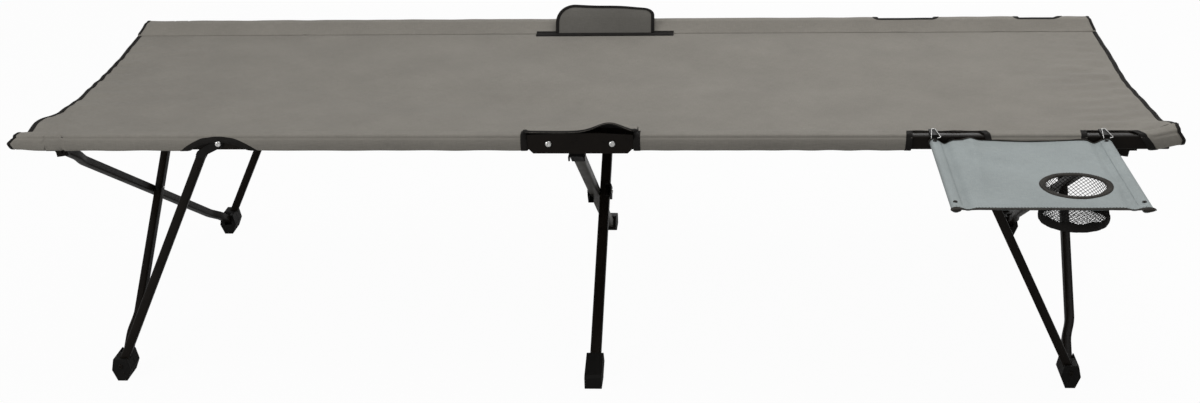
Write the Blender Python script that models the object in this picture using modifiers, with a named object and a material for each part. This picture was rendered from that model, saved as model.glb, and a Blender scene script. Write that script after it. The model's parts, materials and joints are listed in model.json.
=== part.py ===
"""Folding camping cot with a side table that hooks on its rail.

Metres, +Z up, +X along the cot, +Y away from the side that has the table. The cot stands on z = 0 and
the middle of its outline is at the origin. The right end is at +X, the near side at -Y.

The cot folds in one motion. Two mid legs and, at each end, two braces are scissors that draw the rails
together. The legs turn in under the rails, and the rail halves turn down at the hinge brackets.
"""

import math

import bmesh
import bpy
from mathutils import Matrix, Vector

# Driving sizes of the frame
RAIL_SPACING = 0.740
RAIL_HEIGHT = 0.474
RAIL_SIZE = 0.025
RAIL_WALL = 0.0015
RAIL_PAST_YOKE = 0.0695
HINGE_X = 0.056
LEG_PIVOT_X = 0.644
FOOT_X = 0.880
FOOT_PIVOT_HEIGHT = 0.030
YOKE_DROP = 0.025
PIVOT_INSET = 0.0265
FOLDED_ANGLE = math.radians(7.0)
FOLDED_FOOT_DEPTH = 0.035
TUBE_CORNER = 0.003
PLAY = 0.0003
PIN_RADIUS = 0.003
PIN_HOLE_RADIUS = 0.0034
ROUND_SEGMENTS = 12
MERGE_DISTANCE = 0.000001
SMOOTH_ANGLE = math.radians(35.0)
ROUND_END_POINTS = 9
ARCH_POINTS = 13
SEAM_POINTS = 12

# Legs and braces
LEG_SIZE = 0.016
LEG_WALL = 0.0012
LEG_OFFSET = 0.022
BRACE_SIZE = 0.016
BRACE_CROSS_GAP = 0.0006
JOGGLE_START = 0.050
JOGGLE_END = 0.100
BRACE_RIVET_PAST = 0.002
PLATE = 0.0025

# Lug under the rail, and yoke
LUG_HALF_LENGTH = 0.017
LUG_RADIUS = 0.008
LUG_FLANGE_REACH = 0.010
LUG_FLANGE_EDGE = 0.002
LUG_ARC = (math.radians(-20.0), math.radians(-160.0))
YOKE_RADIUS = 0.0095
YOKE_CHEEK = 0.0095
YOKE_STUB = 0.002

# Leg forks
FORK_PLATE = 0.0027
FORK_HEAD_RADIUS = 0.0085
FORK_HEAD_ARC = (math.radians(10.0), math.radians(200.0))
FORK_TUBE_START = 0.045
FORK_SPIGOT = 0.024
FORK_COLLAR = 0.0012
FORK_COLLAR_HEIGHT = 0.007
FORK_SHOULDER = 0.014
FORK_THROAT = 0.033
LEG_TUBE_SHORT = 0.006

# Foot blocks at the corners
FOOT_BOTTOM_WIDTH = 0.018
FOOT_MAX_WIDTH = 0.036
FOOT_MAX_HEIGHT = 0.022
FOOT_TOP_WIDTH = 0.026
FOOT_HEIGHT = 0.045
FRONT_FOOT_OUT = 0.014
FRONT_FOOT_IN = 0.0137
REAR_FOOT_START = 0.0015
REAR_FOOT_REACH = 0.012
REAR_FOOT_CLEARANCE = 0.0004

# Mid legs
MID_SIZE = 0.020
MID_WALL = 0.0012
MID_PIVOT_DROP = 0.028
MID_CROSS_GAP = 0.0006
MID_PLUG_HEAD = 0.022
MID_PLUG_SPIGOT = 0.023
MID_FOOT_WIDTH = 0.032
MID_FOOT_FACE = 0.022
MID_FOOT_SOCKET = 0.058
MID_FOOT_WALL = 0.0045
MID_TUBE_SHORT = 0.030
MID_RIVET_PAST = 0.002

# Hinge brackets
BRACKET_HALF_LENGTH = 0.093
BRACKET_PLATE = 0.003
BRACKET_BELOW = 0.018
BRACKET_ABOVE = 0.0165
BRACKET_WEB_HALF = 0.036
BRACKET_CHAMFER = 0.010
EAR = 0.003
EAR_REACH = 0.010
EAR_TOP = 0.0075

# Fabric
CLOTH = 0.001
SLEEVE_CORNER = 0.004
SLEEVE_CLEARANCE = 0.001
SLEEVE_START_X = 0.100
FABRIC_PAST_RAIL = 0.0135
BED_CLOTH = 0.002
BED_EDGE_DROP = 0.005
BED_SAG = 0.009
BED_END_CURVE = 0.036
ARCH_HALF_LENGTH = 0.068
ARCH_TOP = 0.010
INNER_ARCH_HALF_LENGTH = 0.044
INNER_ARCH_TOP = 0.0092
HOOK_CUTS_X = ((0.555, 0.703), (0.859, 0.985))
HOOK_CUT_INNER = 0.011
HOOK_CUT_LEVEL = 0.0
BED_FORK_NOTCH = 0.030
BED_ROWS = 12
BED_COLUMNS = 10
BED_MID_COLUMNS = 2
FLAP_HALF_LENGTH = 0.100
FLAP_CLOTH = 0.0012
NEAR_FLAP_REACH = 0.030
NEAR_FLAP_DROP = 0.008
FAR_FLAP_RISE = 0.034

# Side table
TABLE_X = (0.603, 0.914)
TABLE_DEPTH = 0.306
TABLE_CLOTH = 0.0016
CUP_HOLE_DEPTH = 0.010
ARM_RADIUS = 0.005
ARM_WALL = 0.001
ARM_ABOVE_RAIL = 0.002
ARM_INSET = 0.010
HOOK_WIDTH = 0.014
HOOK_PLATE = 0.003
HOOK_LIP = 0.007
HOOK_BELOW = 0.009
HOOK_SPIGOT = 0.024
CUP_X = 0.8145
CUP_FROM_EDGE = 0.093
CUP_RADIUS = 0.0506
CUP_RING_WIDTH = 0.0066
CUP_RING_HEIGHT = 0.0045
BASKET_DEPTH = 0.060
BASKET_BASE_RADIUS = 0.054
BASKET_WALL = 0.0016
BASKET_BASE_BAND = 0.016
BASKET_BASE_THICKNESS = 0.004
CUP_SEGMENTS = 24

NEAR = -1
FAR = 1
LEFT = -1
RIGHT = 1
END_NAMES = {LEFT: "left", RIGHT: "right"}
SIDE_NAMES = {NEAR: "near", FAR: "far"}

# Sizes worked out from the driving ones
RAIL_HALF = RAIL_SIZE / 2
SLEEVE_HALF = RAIL_HALF + PLAY + CLOTH
BED_HALF_WIDTH = RAIL_SPACING / 2 - SLEEVE_HALF - PLAY
ARMS_X = (TABLE_X[0] + ARM_INSET, TABLE_X[1] - ARM_INSET)
LEG_RISE = RAIL_HEIGHT - FOOT_PIVOT_HEIGHT
LEG_RUN = FOOT_X - LEG_PIVOT_X
LEG_LENGTH = math.hypot(LEG_RUN, LEG_RISE)
LEG_LEAN = math.atan2(LEG_RUN, LEG_RISE)
BRACE_SPAN = RAIL_SPACING - 2 * PIVOT_INSET


def yoke_reach():
    """Distance from the rail rivet to the yoke that lets the folded leg lie at its folded depth.

    The brace length follows from the open shape, and its folded share of that length, measured in the
    plane of the rail and the leg, has to span from the yoke to the foot of the folded leg.
    """
    share = math.cos(FOLDED_ANGLE) ** 2
    drop = LEG_RISE - YOKE_DROP
    folded_run = math.sqrt(LEG_LENGTH ** 2 - FOLDED_FOOT_DEPTH ** 2)
    square = 1 - share
    linear = 2 * (folded_run + share * LEG_RUN)
    constant = folded_run ** 2 + (FOLDED_FOOT_DEPTH - YOKE_DROP) ** 2
    constant -= share * (LEG_RUN ** 2 + drop ** 2 + BRACE_SPAN ** 2)
    return (-linear + math.sqrt(linear ** 2 - 4 * square * constant)) / (2 * square)


YOKE_X = LEG_PIVOT_X + yoke_reach()
YOKE_HEIGHT = RAIL_HEIGHT - YOKE_DROP
RAIL_END_X = YOKE_X + RAIL_PAST_YOKE
FABRIC_END_X = RAIL_END_X + FABRIC_PAST_RAIL
YOKE_LEAN = math.atan2(YOKE_X - FOOT_X, YOKE_HEIGHT - FOOT_PIVOT_HEIGHT)
BRACE_DROP = math.hypot(YOKE_X - FOOT_X, YOKE_HEIGHT - FOOT_PIVOT_HEIGHT)
BRACE_LENGTH = math.hypot(BRACE_DROP, BRACE_SPAN)
OPEN_ANGLE = math.atan2(BRACE_SPAN, BRACE_DROP)
CROSS_DISTANCE = BRACE_LENGTH / 2
MID_PIVOT_HEIGHT = RAIL_HEIGHT - MID_PIVOT_DROP
CROSS_HEIGHT = MID_PIVOT_HEIGHT - CROSS_DISTANCE * math.cos(OPEN_ANGLE)
MID_LENGTH = MID_PIVOT_HEIGHT / math.cos(OPEN_ANGLE)
MID_FOOT_Y = MID_LENGTH * math.sin(OPEN_ANGLE) - BRACE_SPAN / 2
MID_X = (MID_SIZE + MID_CROSS_GAP) / 2
BRACE_SHIFT = (BRACE_SIZE + BRACE_CROSS_GAP) / 2
TABLE_START = RAIL_HALF + PLAY + HOOK_PLATE + PLAY
FAR_REACH = MID_FOOT_Y + MID_FOOT_FACE
NEAR_REACH = RAIL_SPACING / 2 + TABLE_START + TABLE_DEPTH
Y_SHIFT = (NEAR_REACH - FAR_REACH) / 2


def clear_scene():
    """Remove what the file holds, and make the two collections."""
    for obj in list(bpy.data.objects):
        bpy.data.objects.remove(obj, do_unlink=True)
    parts = bpy.data.collections.new("camping_cot")
    cutters = bpy.data.collections.new("cutters")
    bpy.context.scene.collection.children.link(parts)
    bpy.context.scene.collection.children.link(cutters)
    return parts, cutters


PARTS, CUTTERS = clear_scene()


def make_material(name, colour, roughness, metallic=0.0):
    """A Principled material."""
    material = bpy.data.materials.new(name)
    material.use_nodes = True
    shader = material.node_tree.nodes["Principled BSDF"]
    shader.inputs["Base Color"].default_value = (*colour, 1.0)
    shader.inputs["Roughness"].default_value = roughness
    shader.inputs["Metallic"].default_value = metallic
    return material


BLACK_PAINT = make_material("black_paint", (0.018, 0.017, 0.016), 0.42)
BLACK_PLASTIC = make_material("black_plastic", (0.014, 0.014, 0.014), 0.55)
BRIGHT_STEEL = make_material("bright_steel", (0.62, 0.62, 0.60), 0.30, 1.0)
BED_FABRIC = make_material("bed_fabric", (0.223, 0.209, 0.184), 0.85)
TABLE_FABRIC = make_material("table_fabric", (0.305, 0.337, 0.337), 0.85)
BLACK_BINDING = make_material("black_binding", (0.012, 0.011, 0.010), 0.80)
BLACK_MESH = make_material("black_mesh", (0.016, 0.016, 0.016), 0.75)

# Joint frames: an empty on each joint's axis, with its place at rest kept here by name
FRAMES = {}
PLACES = {}


def joint_frame(name, parent, place):
    """An empty at the world matrix `place`, carried by the frame `parent`."""
    empty = bpy.data.objects.new(f"axis_{name}", None)
    empty.empty_display_size = 0.03
    PARTS.objects.link(empty)
    FRAMES[name] = empty
    PLACES[name] = place
    if parent is None:
        empty.matrix_basis = place
    else:
        empty.parent = FRAMES[parent]
        empty.matrix_basis = PLACES[parent].inverted() @ place


def turned_about(axis, angle, point):
    """The matrix of a frame at `point`, turned by `angle` about a world axis."""
    return Matrix.Translation(point) @ Matrix.Rotation(angle, 4, axis)


def arc(radius, centre, start, end, count):
    """Points of an arc, both ends included."""
    steps = [start + (end - start) * i / (count - 1) for i in range(count)]
    return [(centre[0] + radius * math.cos(a), centre[1] + radius * math.sin(a)) for a in steps]


def circle(radius, centre=(0.0, 0.0), segments=ROUND_SEGMENTS):
    """Points of a circle in a flat outline."""
    return arc(radius, centre, 0.0, 2 * math.pi * (1 - 1 / segments), segments)


def rounded_square(half, corner, steps=2):
    """Points of a square of half width `half` with its corners rounded."""
    points = []
    for quarter, (side_a, side_b) in enumerate(((1, 1), (-1, 1), (-1, -1), (1, -1))):
        centre = ((half - corner) * side_a, (half - corner) * side_b)
        start = quarter * math.pi / 2
        points += arc(corner, centre, start, start + math.pi / 2, steps + 1)
    return points


def prism(loops, low, high, axis):
    """A flat outline with its holes, filled and extruded from `low` to `high` along an axis.

    The outline's two coordinates are X and Z for the Y axis, Y and Z for X, and X and Y for Z.
    """
    curve = bpy.data.curves.new("outline", "CURVE")
    curve.dimensions = "2D"
    curve.fill_mode = "BOTH"
    curve.extrude = (high - low) / 2
    for loop in loops:
        spline = curve.splines.new("POLY")
        spline.points.add(len(loop) - 1)
        for point, (a, b) in zip(spline.points, loop):
            point.co = (a, b, 0.0, 1.0)
        spline.use_cyclic_u = True
    flat = bpy.data.objects.new("outline", curve)
    CUTTERS.objects.link(flat)
    evaluated = flat.evaluated_get(bpy.context.evaluated_depsgraph_get())
    mesh = bpy.data.meshes.new_from_object(evaluated)
    bm = bmesh.new()
    bm.from_mesh(mesh)
    bpy.data.objects.remove(flat)
    bpy.data.curves.remove(curve)
    bpy.data.meshes.remove(mesh)
    bmesh.ops.remove_doubles(bm, verts=bm.verts, dist=MERGE_DISTANCE)
    middle = (low + high) / 2
    turns = {
        "X": Matrix(((0, 0, 1, middle), (1, 0, 0, 0), (0, 1, 0, 0), (0, 0, 0, 1))),
        "Y": Matrix(((1, 0, 0, 0), (0, 0, -1, middle), (0, 1, 0, 0), (0, 0, 0, 1))),
        "Z": Matrix.Translation((0, 0, middle)),
    }
    return moved(bm, turns[axis])


def moved(bm, matrix):
    """The same mesh, moved by a matrix."""
    bmesh.ops.transform(bm, matrix=matrix, verts=bm.verts)
    return bm


def box(low, high):
    """A box between two corners, in any order."""
    bm = bmesh.new()
    bmesh.ops.create_cube(bm, size=1.0)
    size = [abs(b - a) for a, b in zip(low, high)]
    centre = [(a + b) / 2 for a, b in zip(low, high)]
    return moved(bm, Matrix.Translation(centre) @ Matrix.Diagonal((*size, 1.0)))


def rod(start, end, radius, segments=ROUND_SEGMENTS):
    """A cylinder between two points."""
    start = Vector(start)
    along = Vector(end) - start
    bm = bmesh.new()
    bmesh.ops.create_cone(
        bm,
        cap_ends=True,
        segments=segments,
        radius1=radius,
        radius2=radius,
        depth=along.length,
    )
    turn = along.to_track_quat("Z", "Y").to_matrix().to_4x4()
    return moved(bm, Matrix.Translation(start + along / 2) @ turn)


def revolved(profile, segments):
    """A mesh turned about Z from a profile of (radius, height) points, its outer side running down."""
    mesh = bpy.data.meshes.new("profile")
    edges = [(i, i + 1) for i in range(len(profile) - 1)]
    if profile[0][0] > 0:
        edges.append((len(profile) - 1, 0))
    mesh.from_pydata([(radius, 0.0, height) for radius, height in profile], edges, [])
    obj = bpy.data.objects.new("profile", mesh)
    CUTTERS.objects.link(obj)
    screw = obj.modifiers.new("turn", "SCREW")
    screw.steps = segments
    screw.render_steps = segments
    screw.use_merge_vertices = True
    screw.merge_threshold = MERGE_DISTANCE
    evaluated = obj.evaluated_get(bpy.context.evaluated_depsgraph_get())
    whole = bpy.data.meshes.new_from_object(evaluated)
    bm = bmesh.new()
    bm.from_mesh(whole)
    bpy.data.objects.remove(obj)
    bpy.data.meshes.remove(mesh)
    bpy.data.meshes.remove(whole)
    bmesh.ops.remove_doubles(bm, verts=bm.verts, dist=MERGE_DISTANCE)
    return bm


def add_object(name, parent, bm, collection):
    """Make an object of a mesh, its faces pointing out, and hang it on a joint frame's empty."""
    bmesh.ops.recalc_face_normals(bm, faces=bm.faces)
    mesh = bpy.data.meshes.new(name)
    bm.to_mesh(mesh)
    bm.free()
    obj = bpy.data.objects.new(name, mesh)
    obj.parent = parent
    collection.objects.link(obj)
    return obj


def piece(name, frame, bm, material, smooth=False):
    """A named piece of the cot."""
    obj = add_object(name, FRAMES[frame], bm, PARTS)
    obj.data.materials.append(material)
    if smooth:
        obj.data.shade_smooth()
        obj.data.set_sharp_from_angle(angle=SMOOTH_ANGLE)
    return obj


def shape(obj, bm, operation, label):
    """Join a solid to a piece, or cut it out, with a Boolean modifier."""
    tool = add_object(f"{obj.name}_{label}", obj.parent, bm, CUTTERS)
    tool.hide_render = True
    tool.display_type = "WIRE"
    modifier = obj.modifiers.new(label, "BOOLEAN")
    modifier.object = tool
    modifier.operation = operation
    modifier.solver = "EXACT"


def fuse(obj, bm, label):
    """Join a solid to a piece."""
    shape(obj, bm, "UNION", label)


def cut(obj, bm, label):
    """Cut a solid out of a piece."""
    shape(obj, bm, "DIFFERENCE", label)


class Corner:
    """One corner of the cot, with its own directions.

    out runs along the cot towards the end, inward runs across towards the other rail, up is +Z.
    """

    def __init__(self, end, side):
        self.end = end
        self.side = side
        self.name = f"{END_NAMES[end]}_{SIDE_NAMES[side]}"

    def at(self, out, inward, up):
        """A place in the corner's directions as X, Y, Z."""
        return Vector((self.end * out, -self.side * inward, up))

    def box(self, low, high):
        """A box between two places in the corner's directions."""
        return box(self.at(*low), self.at(*high))

    def rod(self, start, end, radius):
        """A cylinder between two places in the corner's directions."""
        return rod(self.at(*start), self.at(*end), radius)

    def side_prism(self, outline, low, high):
        """An outline of (out, up) points, extruded from `low` to `high` inward."""
        points = [(self.end * a, b) for a, b in outline]
        ends = sorted((-self.side * low, -self.side * high))
        return prism([points], ends[0], ends[1], "Y")


CORNERS = [Corner(end, side) for end in (LEFT, RIGHT) for side in (NEAR, FAR)]


def cot_point(x, y, z):
    """A place measured from the middle between the rails, in the shifted frame."""
    return Vector((x, y + Y_SHIFT, z))


def rail_centre(side):
    """The point of a rail's centre line at the middle of the cot."""
    return cot_point(0, side * RAIL_SPACING / 2, RAIL_HEIGHT)


def mid_pivot(side):
    """The place of a mid leg's clevis pin."""
    return cot_point(side * MID_X, side * BRACE_SPAN / 2, MID_PIVOT_HEIGHT)


def make_frames():
    """The joint frames, each at its place when the cot stands open."""
    joint_frame("root", None, Matrix.Translation(rail_centre(NEAR)))
    joint_frame("mid_near", "root", turned_about("X", OPEN_ANGLE, mid_pivot(NEAR)))
    cross = cot_point(0, 0, CROSS_HEIGHT)
    joint_frame("mid_far", "mid_near", turned_about("X", -OPEN_ANGLE, cross))
    joint_frame("bracket_far", "mid_far", Matrix.Translation(mid_pivot(FAR)))
    for corner in CORNERS:
        make_corner_frames(corner)
    joint_frame("table", "rail_right_near", Matrix.Translation(rail_centre(NEAR)))


def make_corner_frames(corner):
    """Rail, leg, yoke, brace and rear foot frames of one corner.

    A brace starts at the yoke of its own corner and ends at the foot across the cot.
    """
    end, side, name = corner.end, corner.side, corner.name
    rail_y = side * RAIL_SPACING / 2
    pivot_y = side * BRACE_SPAN / 2
    carrier = "root" if side == NEAR else "bracket_far"
    hinge = cot_point(end * HINGE_X, rail_y, RAIL_HEIGHT)
    joint_frame(f"rail_{name}", carrier, Matrix.Translation(hinge))
    knee = cot_point(end * LEG_PIVOT_X, rail_y, RAIL_HEIGHT)
    joint_frame(f"leg_{name}", f"rail_{name}", turned_about("Y", -end * LEG_LEAN, knee))
    yoke = cot_point(end * YOKE_X, rail_y, YOKE_HEIGHT)
    joint_frame(f"yoke_{name}", f"rail_{name}", turned_about("Y", end * YOKE_LEAN, yoke))
    top = cot_point(end * YOKE_X, pivot_y, YOKE_HEIGHT)
    turn = Matrix.Rotation(-side * OPEN_ANGLE, 4, "X")
    joint_frame(f"brace_{name}", f"yoke_{name}", turned_about("Y", end * YOKE_LEAN, top) @ turn)
    foot = cot_point(end * FOOT_X, -pivot_y, FOOT_PIVOT_HEIGHT)
    joint_frame(f"foot_{name}", f"brace_{name}", Matrix.Translation(foot))


def hinge_bracket(side):
    """Inverted channel over the rails' inner ends, with two rivets and the clevis of a mid leg."""
    frame = "root" if side == NEAR else "bracket_far"
    place = Matrix.Translation(rail_centre(side) - PLACES[frame].to_translation())
    clevis = mid_pivot(side) - rail_centre(side)
    inside = RAIL_HALF + PLAY
    outside = inside + BRACKET_PLATE
    half = BRACKET_HALF_LENGTH
    low = -BRACKET_BELOW
    high = BRACKET_ABOVE
    outline = [
        (-half + BRACKET_CHAMFER, low),
        (half - BRACKET_CHAMFER, low),
        (half, low + BRACKET_CHAMFER),
        (half, high),
        (BRACKET_WEB_HALF, high + BRACKET_PLATE),
        (-BRACKET_WEB_HALF, high + BRACKET_PLATE),
        (-half, high),
        (-half, low + BRACKET_CHAMFER),
    ]
    body = moved(prism([outline], -outside, outside, "Y"), place)
    obj = piece(f"hinge_bracket_{SIDE_NAMES[side]}", frame, body, BLACK_PAINT)
    past = RAIL_HALF
    channel = box((-half - past, -inside, low - past), (half + past, inside, high))
    cut(obj, moved(channel, place), "channel")
    reach = outside - BRACKET_PLATE / 2
    for end, label in END_NAMES.items():
        window = box((end * BRACKET_WEB_HALF, -inside, 0), (end * (half + past), inside, high + past))
        cut(obj, moved(window, place), f"window_{label}")
        rivet = rod((end * HINGE_X, -reach, 0), (end * HINGE_X, reach, 0), PIN_RADIUS)
        fuse(obj, moved(rivet, place), f"rivet_{label}")
    inward = -side
    start_y = inward * (inside + BRACKET_PLATE / 2)
    end_y = clevis.y + inward * EAR_REACH
    ear_outline = [
        (start_y, low + EAR / 2),
        (start_y, -EAR_TOP),
        (end_y, -EAR_TOP),
        (end_y, clevis.z - EAR_REACH / 2),
        (clevis.y + inward * EAR_REACH / 2, clevis.z - EAR_REACH),
        (clevis.y - inward * EAR_REACH / 2, clevis.z - EAR_REACH),
    ]
    reach = MID_SIZE / 2 + PLAY
    for face, label in END_NAMES.items():
        ends = sorted((clevis.x + face * reach, clevis.x + face * (reach + EAR)))
        fuse(obj, moved(prism([ear_outline], ends[0], ends[1], "X"), place), f"ear_{label}")
    across = Vector((reach + EAR / 2, 0, 0))
    fuse(obj, moved(rod(clevis - across, clevis + across, PIN_RADIUS), place), "clevis_pin")


def square_tube(half, wall, low, high, axis):
    """A square tube with rounded corners, open at both ends."""
    loops = [rounded_square(half, TUBE_CORNER), rounded_square(half - wall, TUBE_CORNER - wall)]
    return prism(loops, low, high, axis)


def square_spigot(half, corner, low, high):
    """A square plug that fits inside a tube whose bore has this half width and corner radius."""
    return prism([rounded_square(half - PLAY, corner)], low, high, "Z")


def mid_leg(side):
    """A mid leg: a square tube with a plug in the clevis at its top and a moulded foot."""
    name = f"mid_leg_{SIDE_NAMES[side]}"
    frame = f"mid_{SIDE_NAMES[side]}"
    half = MID_SIZE / 2
    top = 0.0 if side == NEAR else CROSS_DISTANCE
    x = 0.0 if side == NEAR else MID_X
    cross = top - CROSS_DISTANCE
    bottom = top - MID_LENGTH
    tube = square_tube(half, MID_WALL, bottom + MID_TUBE_SHORT, top - MID_PLUG_HEAD - PLAY, "Z")
    tube = piece(f"{name}_tube", frame, moved(tube, Matrix.Translation((x, 0, 0))), BLACK_PAINT, True)
    wide = Vector((MID_SIZE, 0, 0))
    middle = Vector((x, 0, cross))
    cut(tube, rod(middle - wide, middle + wide, PIN_HOLE_RADIUS), "rivet_hole")

    head = arc(half, (0.0, top), 0.0, math.pi, ROUND_END_POINTS)
    head += [(-half, top - MID_PLUG_HEAD), (half, top - MID_PLUG_HEAD)]
    plug = piece(f"{name}_plug", frame, prism([head], x - half, x + half, "X"), BLACK_PLASTIC)
    spigot_low = top - MID_PLUG_HEAD - MID_PLUG_SPIGOT
    spigot = square_spigot(half - MID_WALL, TUBE_CORNER - MID_WALL, spigot_low, top - half)
    fuse(plug, moved(spigot, Matrix.Translation((x, 0, 0))), "spigot")
    pin = Vector((x, 0, top))
    cut(plug, rod(pin - wide, pin + wide, PIN_HOLE_RADIUS), "pin_hole")
    mid_leg_foot(side, name, frame, x, bottom)
    if side == NEAR:
        past = Vector((half + MID_RIVET_PAST, 0, cross))
        start = Vector((-past.x, 0, cross))
        end = Vector((past.x + 2 * MID_X, 0, cross))
        piece(f"{name}_rivet", frame, rod(start, end, PIN_RADIUS), BRIGHT_STEEL, True)


def mid_leg_foot(side, name, frame, x, bottom):
    """The foot of a mid leg: upright outside face, flat sole, and a socket that leans with the tube.

    The outline is drawn with the outside of the cot on its right, for the near leg turned round.
    """
    along = Vector((-math.sin(OPEN_ANGLE), math.cos(OPEN_ANGLE)))
    across = Vector((math.cos(OPEN_ANGLE), math.sin(OPEN_ANGLE)))
    mouth = along * MID_FOOT_SOCKET
    wall = across * (MID_SIZE / 2 + MID_FOOT_WALL)
    outline = [
        (MID_FOOT_FACE, 0.0),
        (MID_FOOT_FACE, MID_FOOT_FACE),
        (MID_FOOT_FACE - MID_FOOT_WALL, MID_FOOT_FACE + MID_FOOT_WALL),
        tuple(mouth + wall),
        tuple(mouth - wall),
        (-MID_FOOT_FACE - MID_FOOT_WALL, MID_FOOT_WALL),
        (-MID_FOOT_FACE, 0.0),
    ]
    outside = -side
    half = MID_FOOT_WIDTH / 2
    body = prism([[(outside * a, b) for a, b in outline]], -half, half, "X")
    frame_x = PLACES[frame].to_translation().x
    sole = cot_point(frame_x + x, outside * MID_FOOT_Y, 0)
    body = moved(body, PLACES[frame].inverted() @ Matrix.Translation(sole))
    foot = piece(f"{name}_foot", frame, body, BLACK_PLASTIC)
    seat = MID_SIZE / 2 + PLAY
    socket_low = (x - seat, -seat, bottom + MID_TUBE_SHORT - PLAY)
    cut(foot, box(socket_low, (x + seat, seat, bottom + 2 * MID_FOOT_SOCKET)), "socket")


def rail(corner):
    """A rail half: a square tube with rivet holes at the hinge and at the leg."""
    frame = f"rail_{corner.name}"
    inner_end = -RAIL_HALF
    outer_end = RAIL_END_X - HINGE_X
    ends = sorted((corner.end * inner_end, corner.end * outer_end))
    tube = square_tube(RAIL_HALF, RAIL_WALL, ends[0], ends[1], "X")
    obj = piece(frame, frame, tube, BLACK_PAINT, True)
    for out, label in ((0.0, "hinge_hole"), (LEG_PIVOT_X - HINGE_X, "leg_hole")):
        cut(obj, corner.rod((out, -RAIL_SIZE, 0), (out, RAIL_SIZE, 0), PIN_HOLE_RADIUS), label)


def sleeve(corner):
    """The fabric sleeve round a rail, open for the leg's fork, the brace lug and, right, the table hooks."""
    frame = f"rail_{corner.name}"
    inner = SLEEVE_HALF - CLOTH
    loops = [rounded_square(SLEEVE_HALF, SLEEVE_CORNER), rounded_square(inner, SLEEVE_CORNER - CLOTH)]
    start = SLEEVE_START_X - HINGE_X
    finish = FABRIC_END_X - HINGE_X
    ends = sorted((corner.end * start, corner.end * finish))
    obj = piece(f"sleeve_{corner.name}", frame, prism(loops, ends[0], ends[1], "X"), BED_FABRIC, True)
    knee = LEG_PIVOT_X - HINGE_X
    past = RAIL_SIZE
    for label, half_length, top, low, high in (
        ("outer_arch", ARCH_HALF_LENGTH, ARCH_TOP, -past, 0.0),
        ("inner_arch", INNER_ARCH_HALF_LENGTH, INNER_ARCH_TOP, 0.0, past),
    ):
        rise = top + past
        bow = arc(1.0, (0, 0), 0.0, math.pi, ARCH_POINTS)
        bend = [(knee + half_length * a, -past + rise * b) for a, b in bow]
        cut(obj, corner.side_prism(bend, low, high), label)
    lug = YOKE_X - HINGE_X
    reach = LUG_HALF_LENGTH + SLEEVE_CLEARANCE
    lug_low = (lug - reach, -SLEEVE_HALF + LUG_FLANGE_EDGE, -past)
    cut(obj, corner.box(lug_low, (lug + reach, past, -RAIL_HALF + SLEEVE_CLEARANCE)), "lug_slot")
    if corner.end == RIGHT:
        for number, (low_x, high_x) in enumerate(HOOK_CUTS_X, 1):
            low_x, high_x = low_x - HINGE_X, high_x - HINGE_X
            top = corner.box((low_x, -past, HOOK_CUT_LEVEL), (high_x, HOOK_CUT_INNER, past))
            cut(obj, top, f"hook_top_{number}")
            face = corner.box((low_x, -past, -past), (high_x, -HOOK_CUT_INNER, past))
            cut(obj, face, f"hook_face_{number}")
        for number, arm_x in enumerate(ARMS_X, 1):
            half = HOOK_WIDTH / 2 + SLEEVE_CLEARANCE
            low = (arm_x - HINGE_X - half, 0.0, HOOK_LIP - SLEEVE_CLEARANCE)
            cut(obj, corner.box(low, (arm_x - HINGE_X + half, past, past)), f"lip_slot_{number}")


def rail_lug(corner):
    """An angle under the rail whose upright plate carries the yoke's pivot."""
    frame = f"rail_{corner.name}"
    lug = YOKE_X - HINGE_X
    inner = RAIL_HALF + PLAY
    half = LUG_HALF_LENGTH
    top = -RAIL_HALF - PLAY
    outline = [(lug - half, top - PLATE), (lug - half, top), (lug + half, top), (lug + half, top - PLATE)]
    outline += arc(LUG_RADIUS, (lug, -YOKE_DROP), *LUG_ARC, ROUND_END_POINTS)
    plate = corner.side_prism(outline, inner, inner + PLATE)
    obj = piece(f"rail_lug_{corner.name}", frame, plate, BLACK_PAINT)
    flange = corner.box((lug - half, -LUG_FLANGE_REACH, top - PLATE), (lug + half, inner + PLATE / 2, top))
    fuse(obj, flange, "flange")
    hole = corner.rod((lug, 0, -YOKE_DROP), (lug, 2 * inner, -YOKE_DROP), PIN_HOLE_RADIUS)
    cut(obj, hole, "pivot_hole")


def yoke(corner):
    """The yoke at a rail's end: it turns on the lug's pin and holds the brace's top between its cheeks."""
    frame = f"yoke_{corner.name}"
    back = RAIL_HALF + 2 * PLAY + PLATE
    outline = arc(YOKE_RADIUS, (0, 0), 0.0, math.pi, ROUND_END_POINTS)
    outline += [(-YOKE_RADIUS, -YOKE_RADIUS), (YOKE_RADIUS, -YOKE_RADIUS)]
    obj = piece(frame, frame, corner.side_prism(outline, back, back + PLATE), BLACK_PAINT)
    gap = BRACE_SIZE / 2 + PLAY
    for face, label in ((-1, "inner"), (1, "outer")):
        reach = PIVOT_INSET + YOKE_CHEEK
        low = (face * gap, back + PLATE / 2, -YOKE_CHEEK)
        fuse(obj, corner.box(low, (face * (gap + PLATE), reach, YOKE_CHEEK)), f"cheek_{label}")
    stub_end = RAIL_HALF + PLAY - YOKE_STUB
    fuse(obj, corner.rod((0, stub_end, 0), (0, back + PLATE / 2, 0), PIN_RADIUS), "stub")
    across = gap + PLATE / 2
    pin = corner.rod((-across, PIVOT_INSET, 0), (across, PIVOT_INSET, 0), PIN_RADIUS)
    fuse(obj, pin, "pin")


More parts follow.
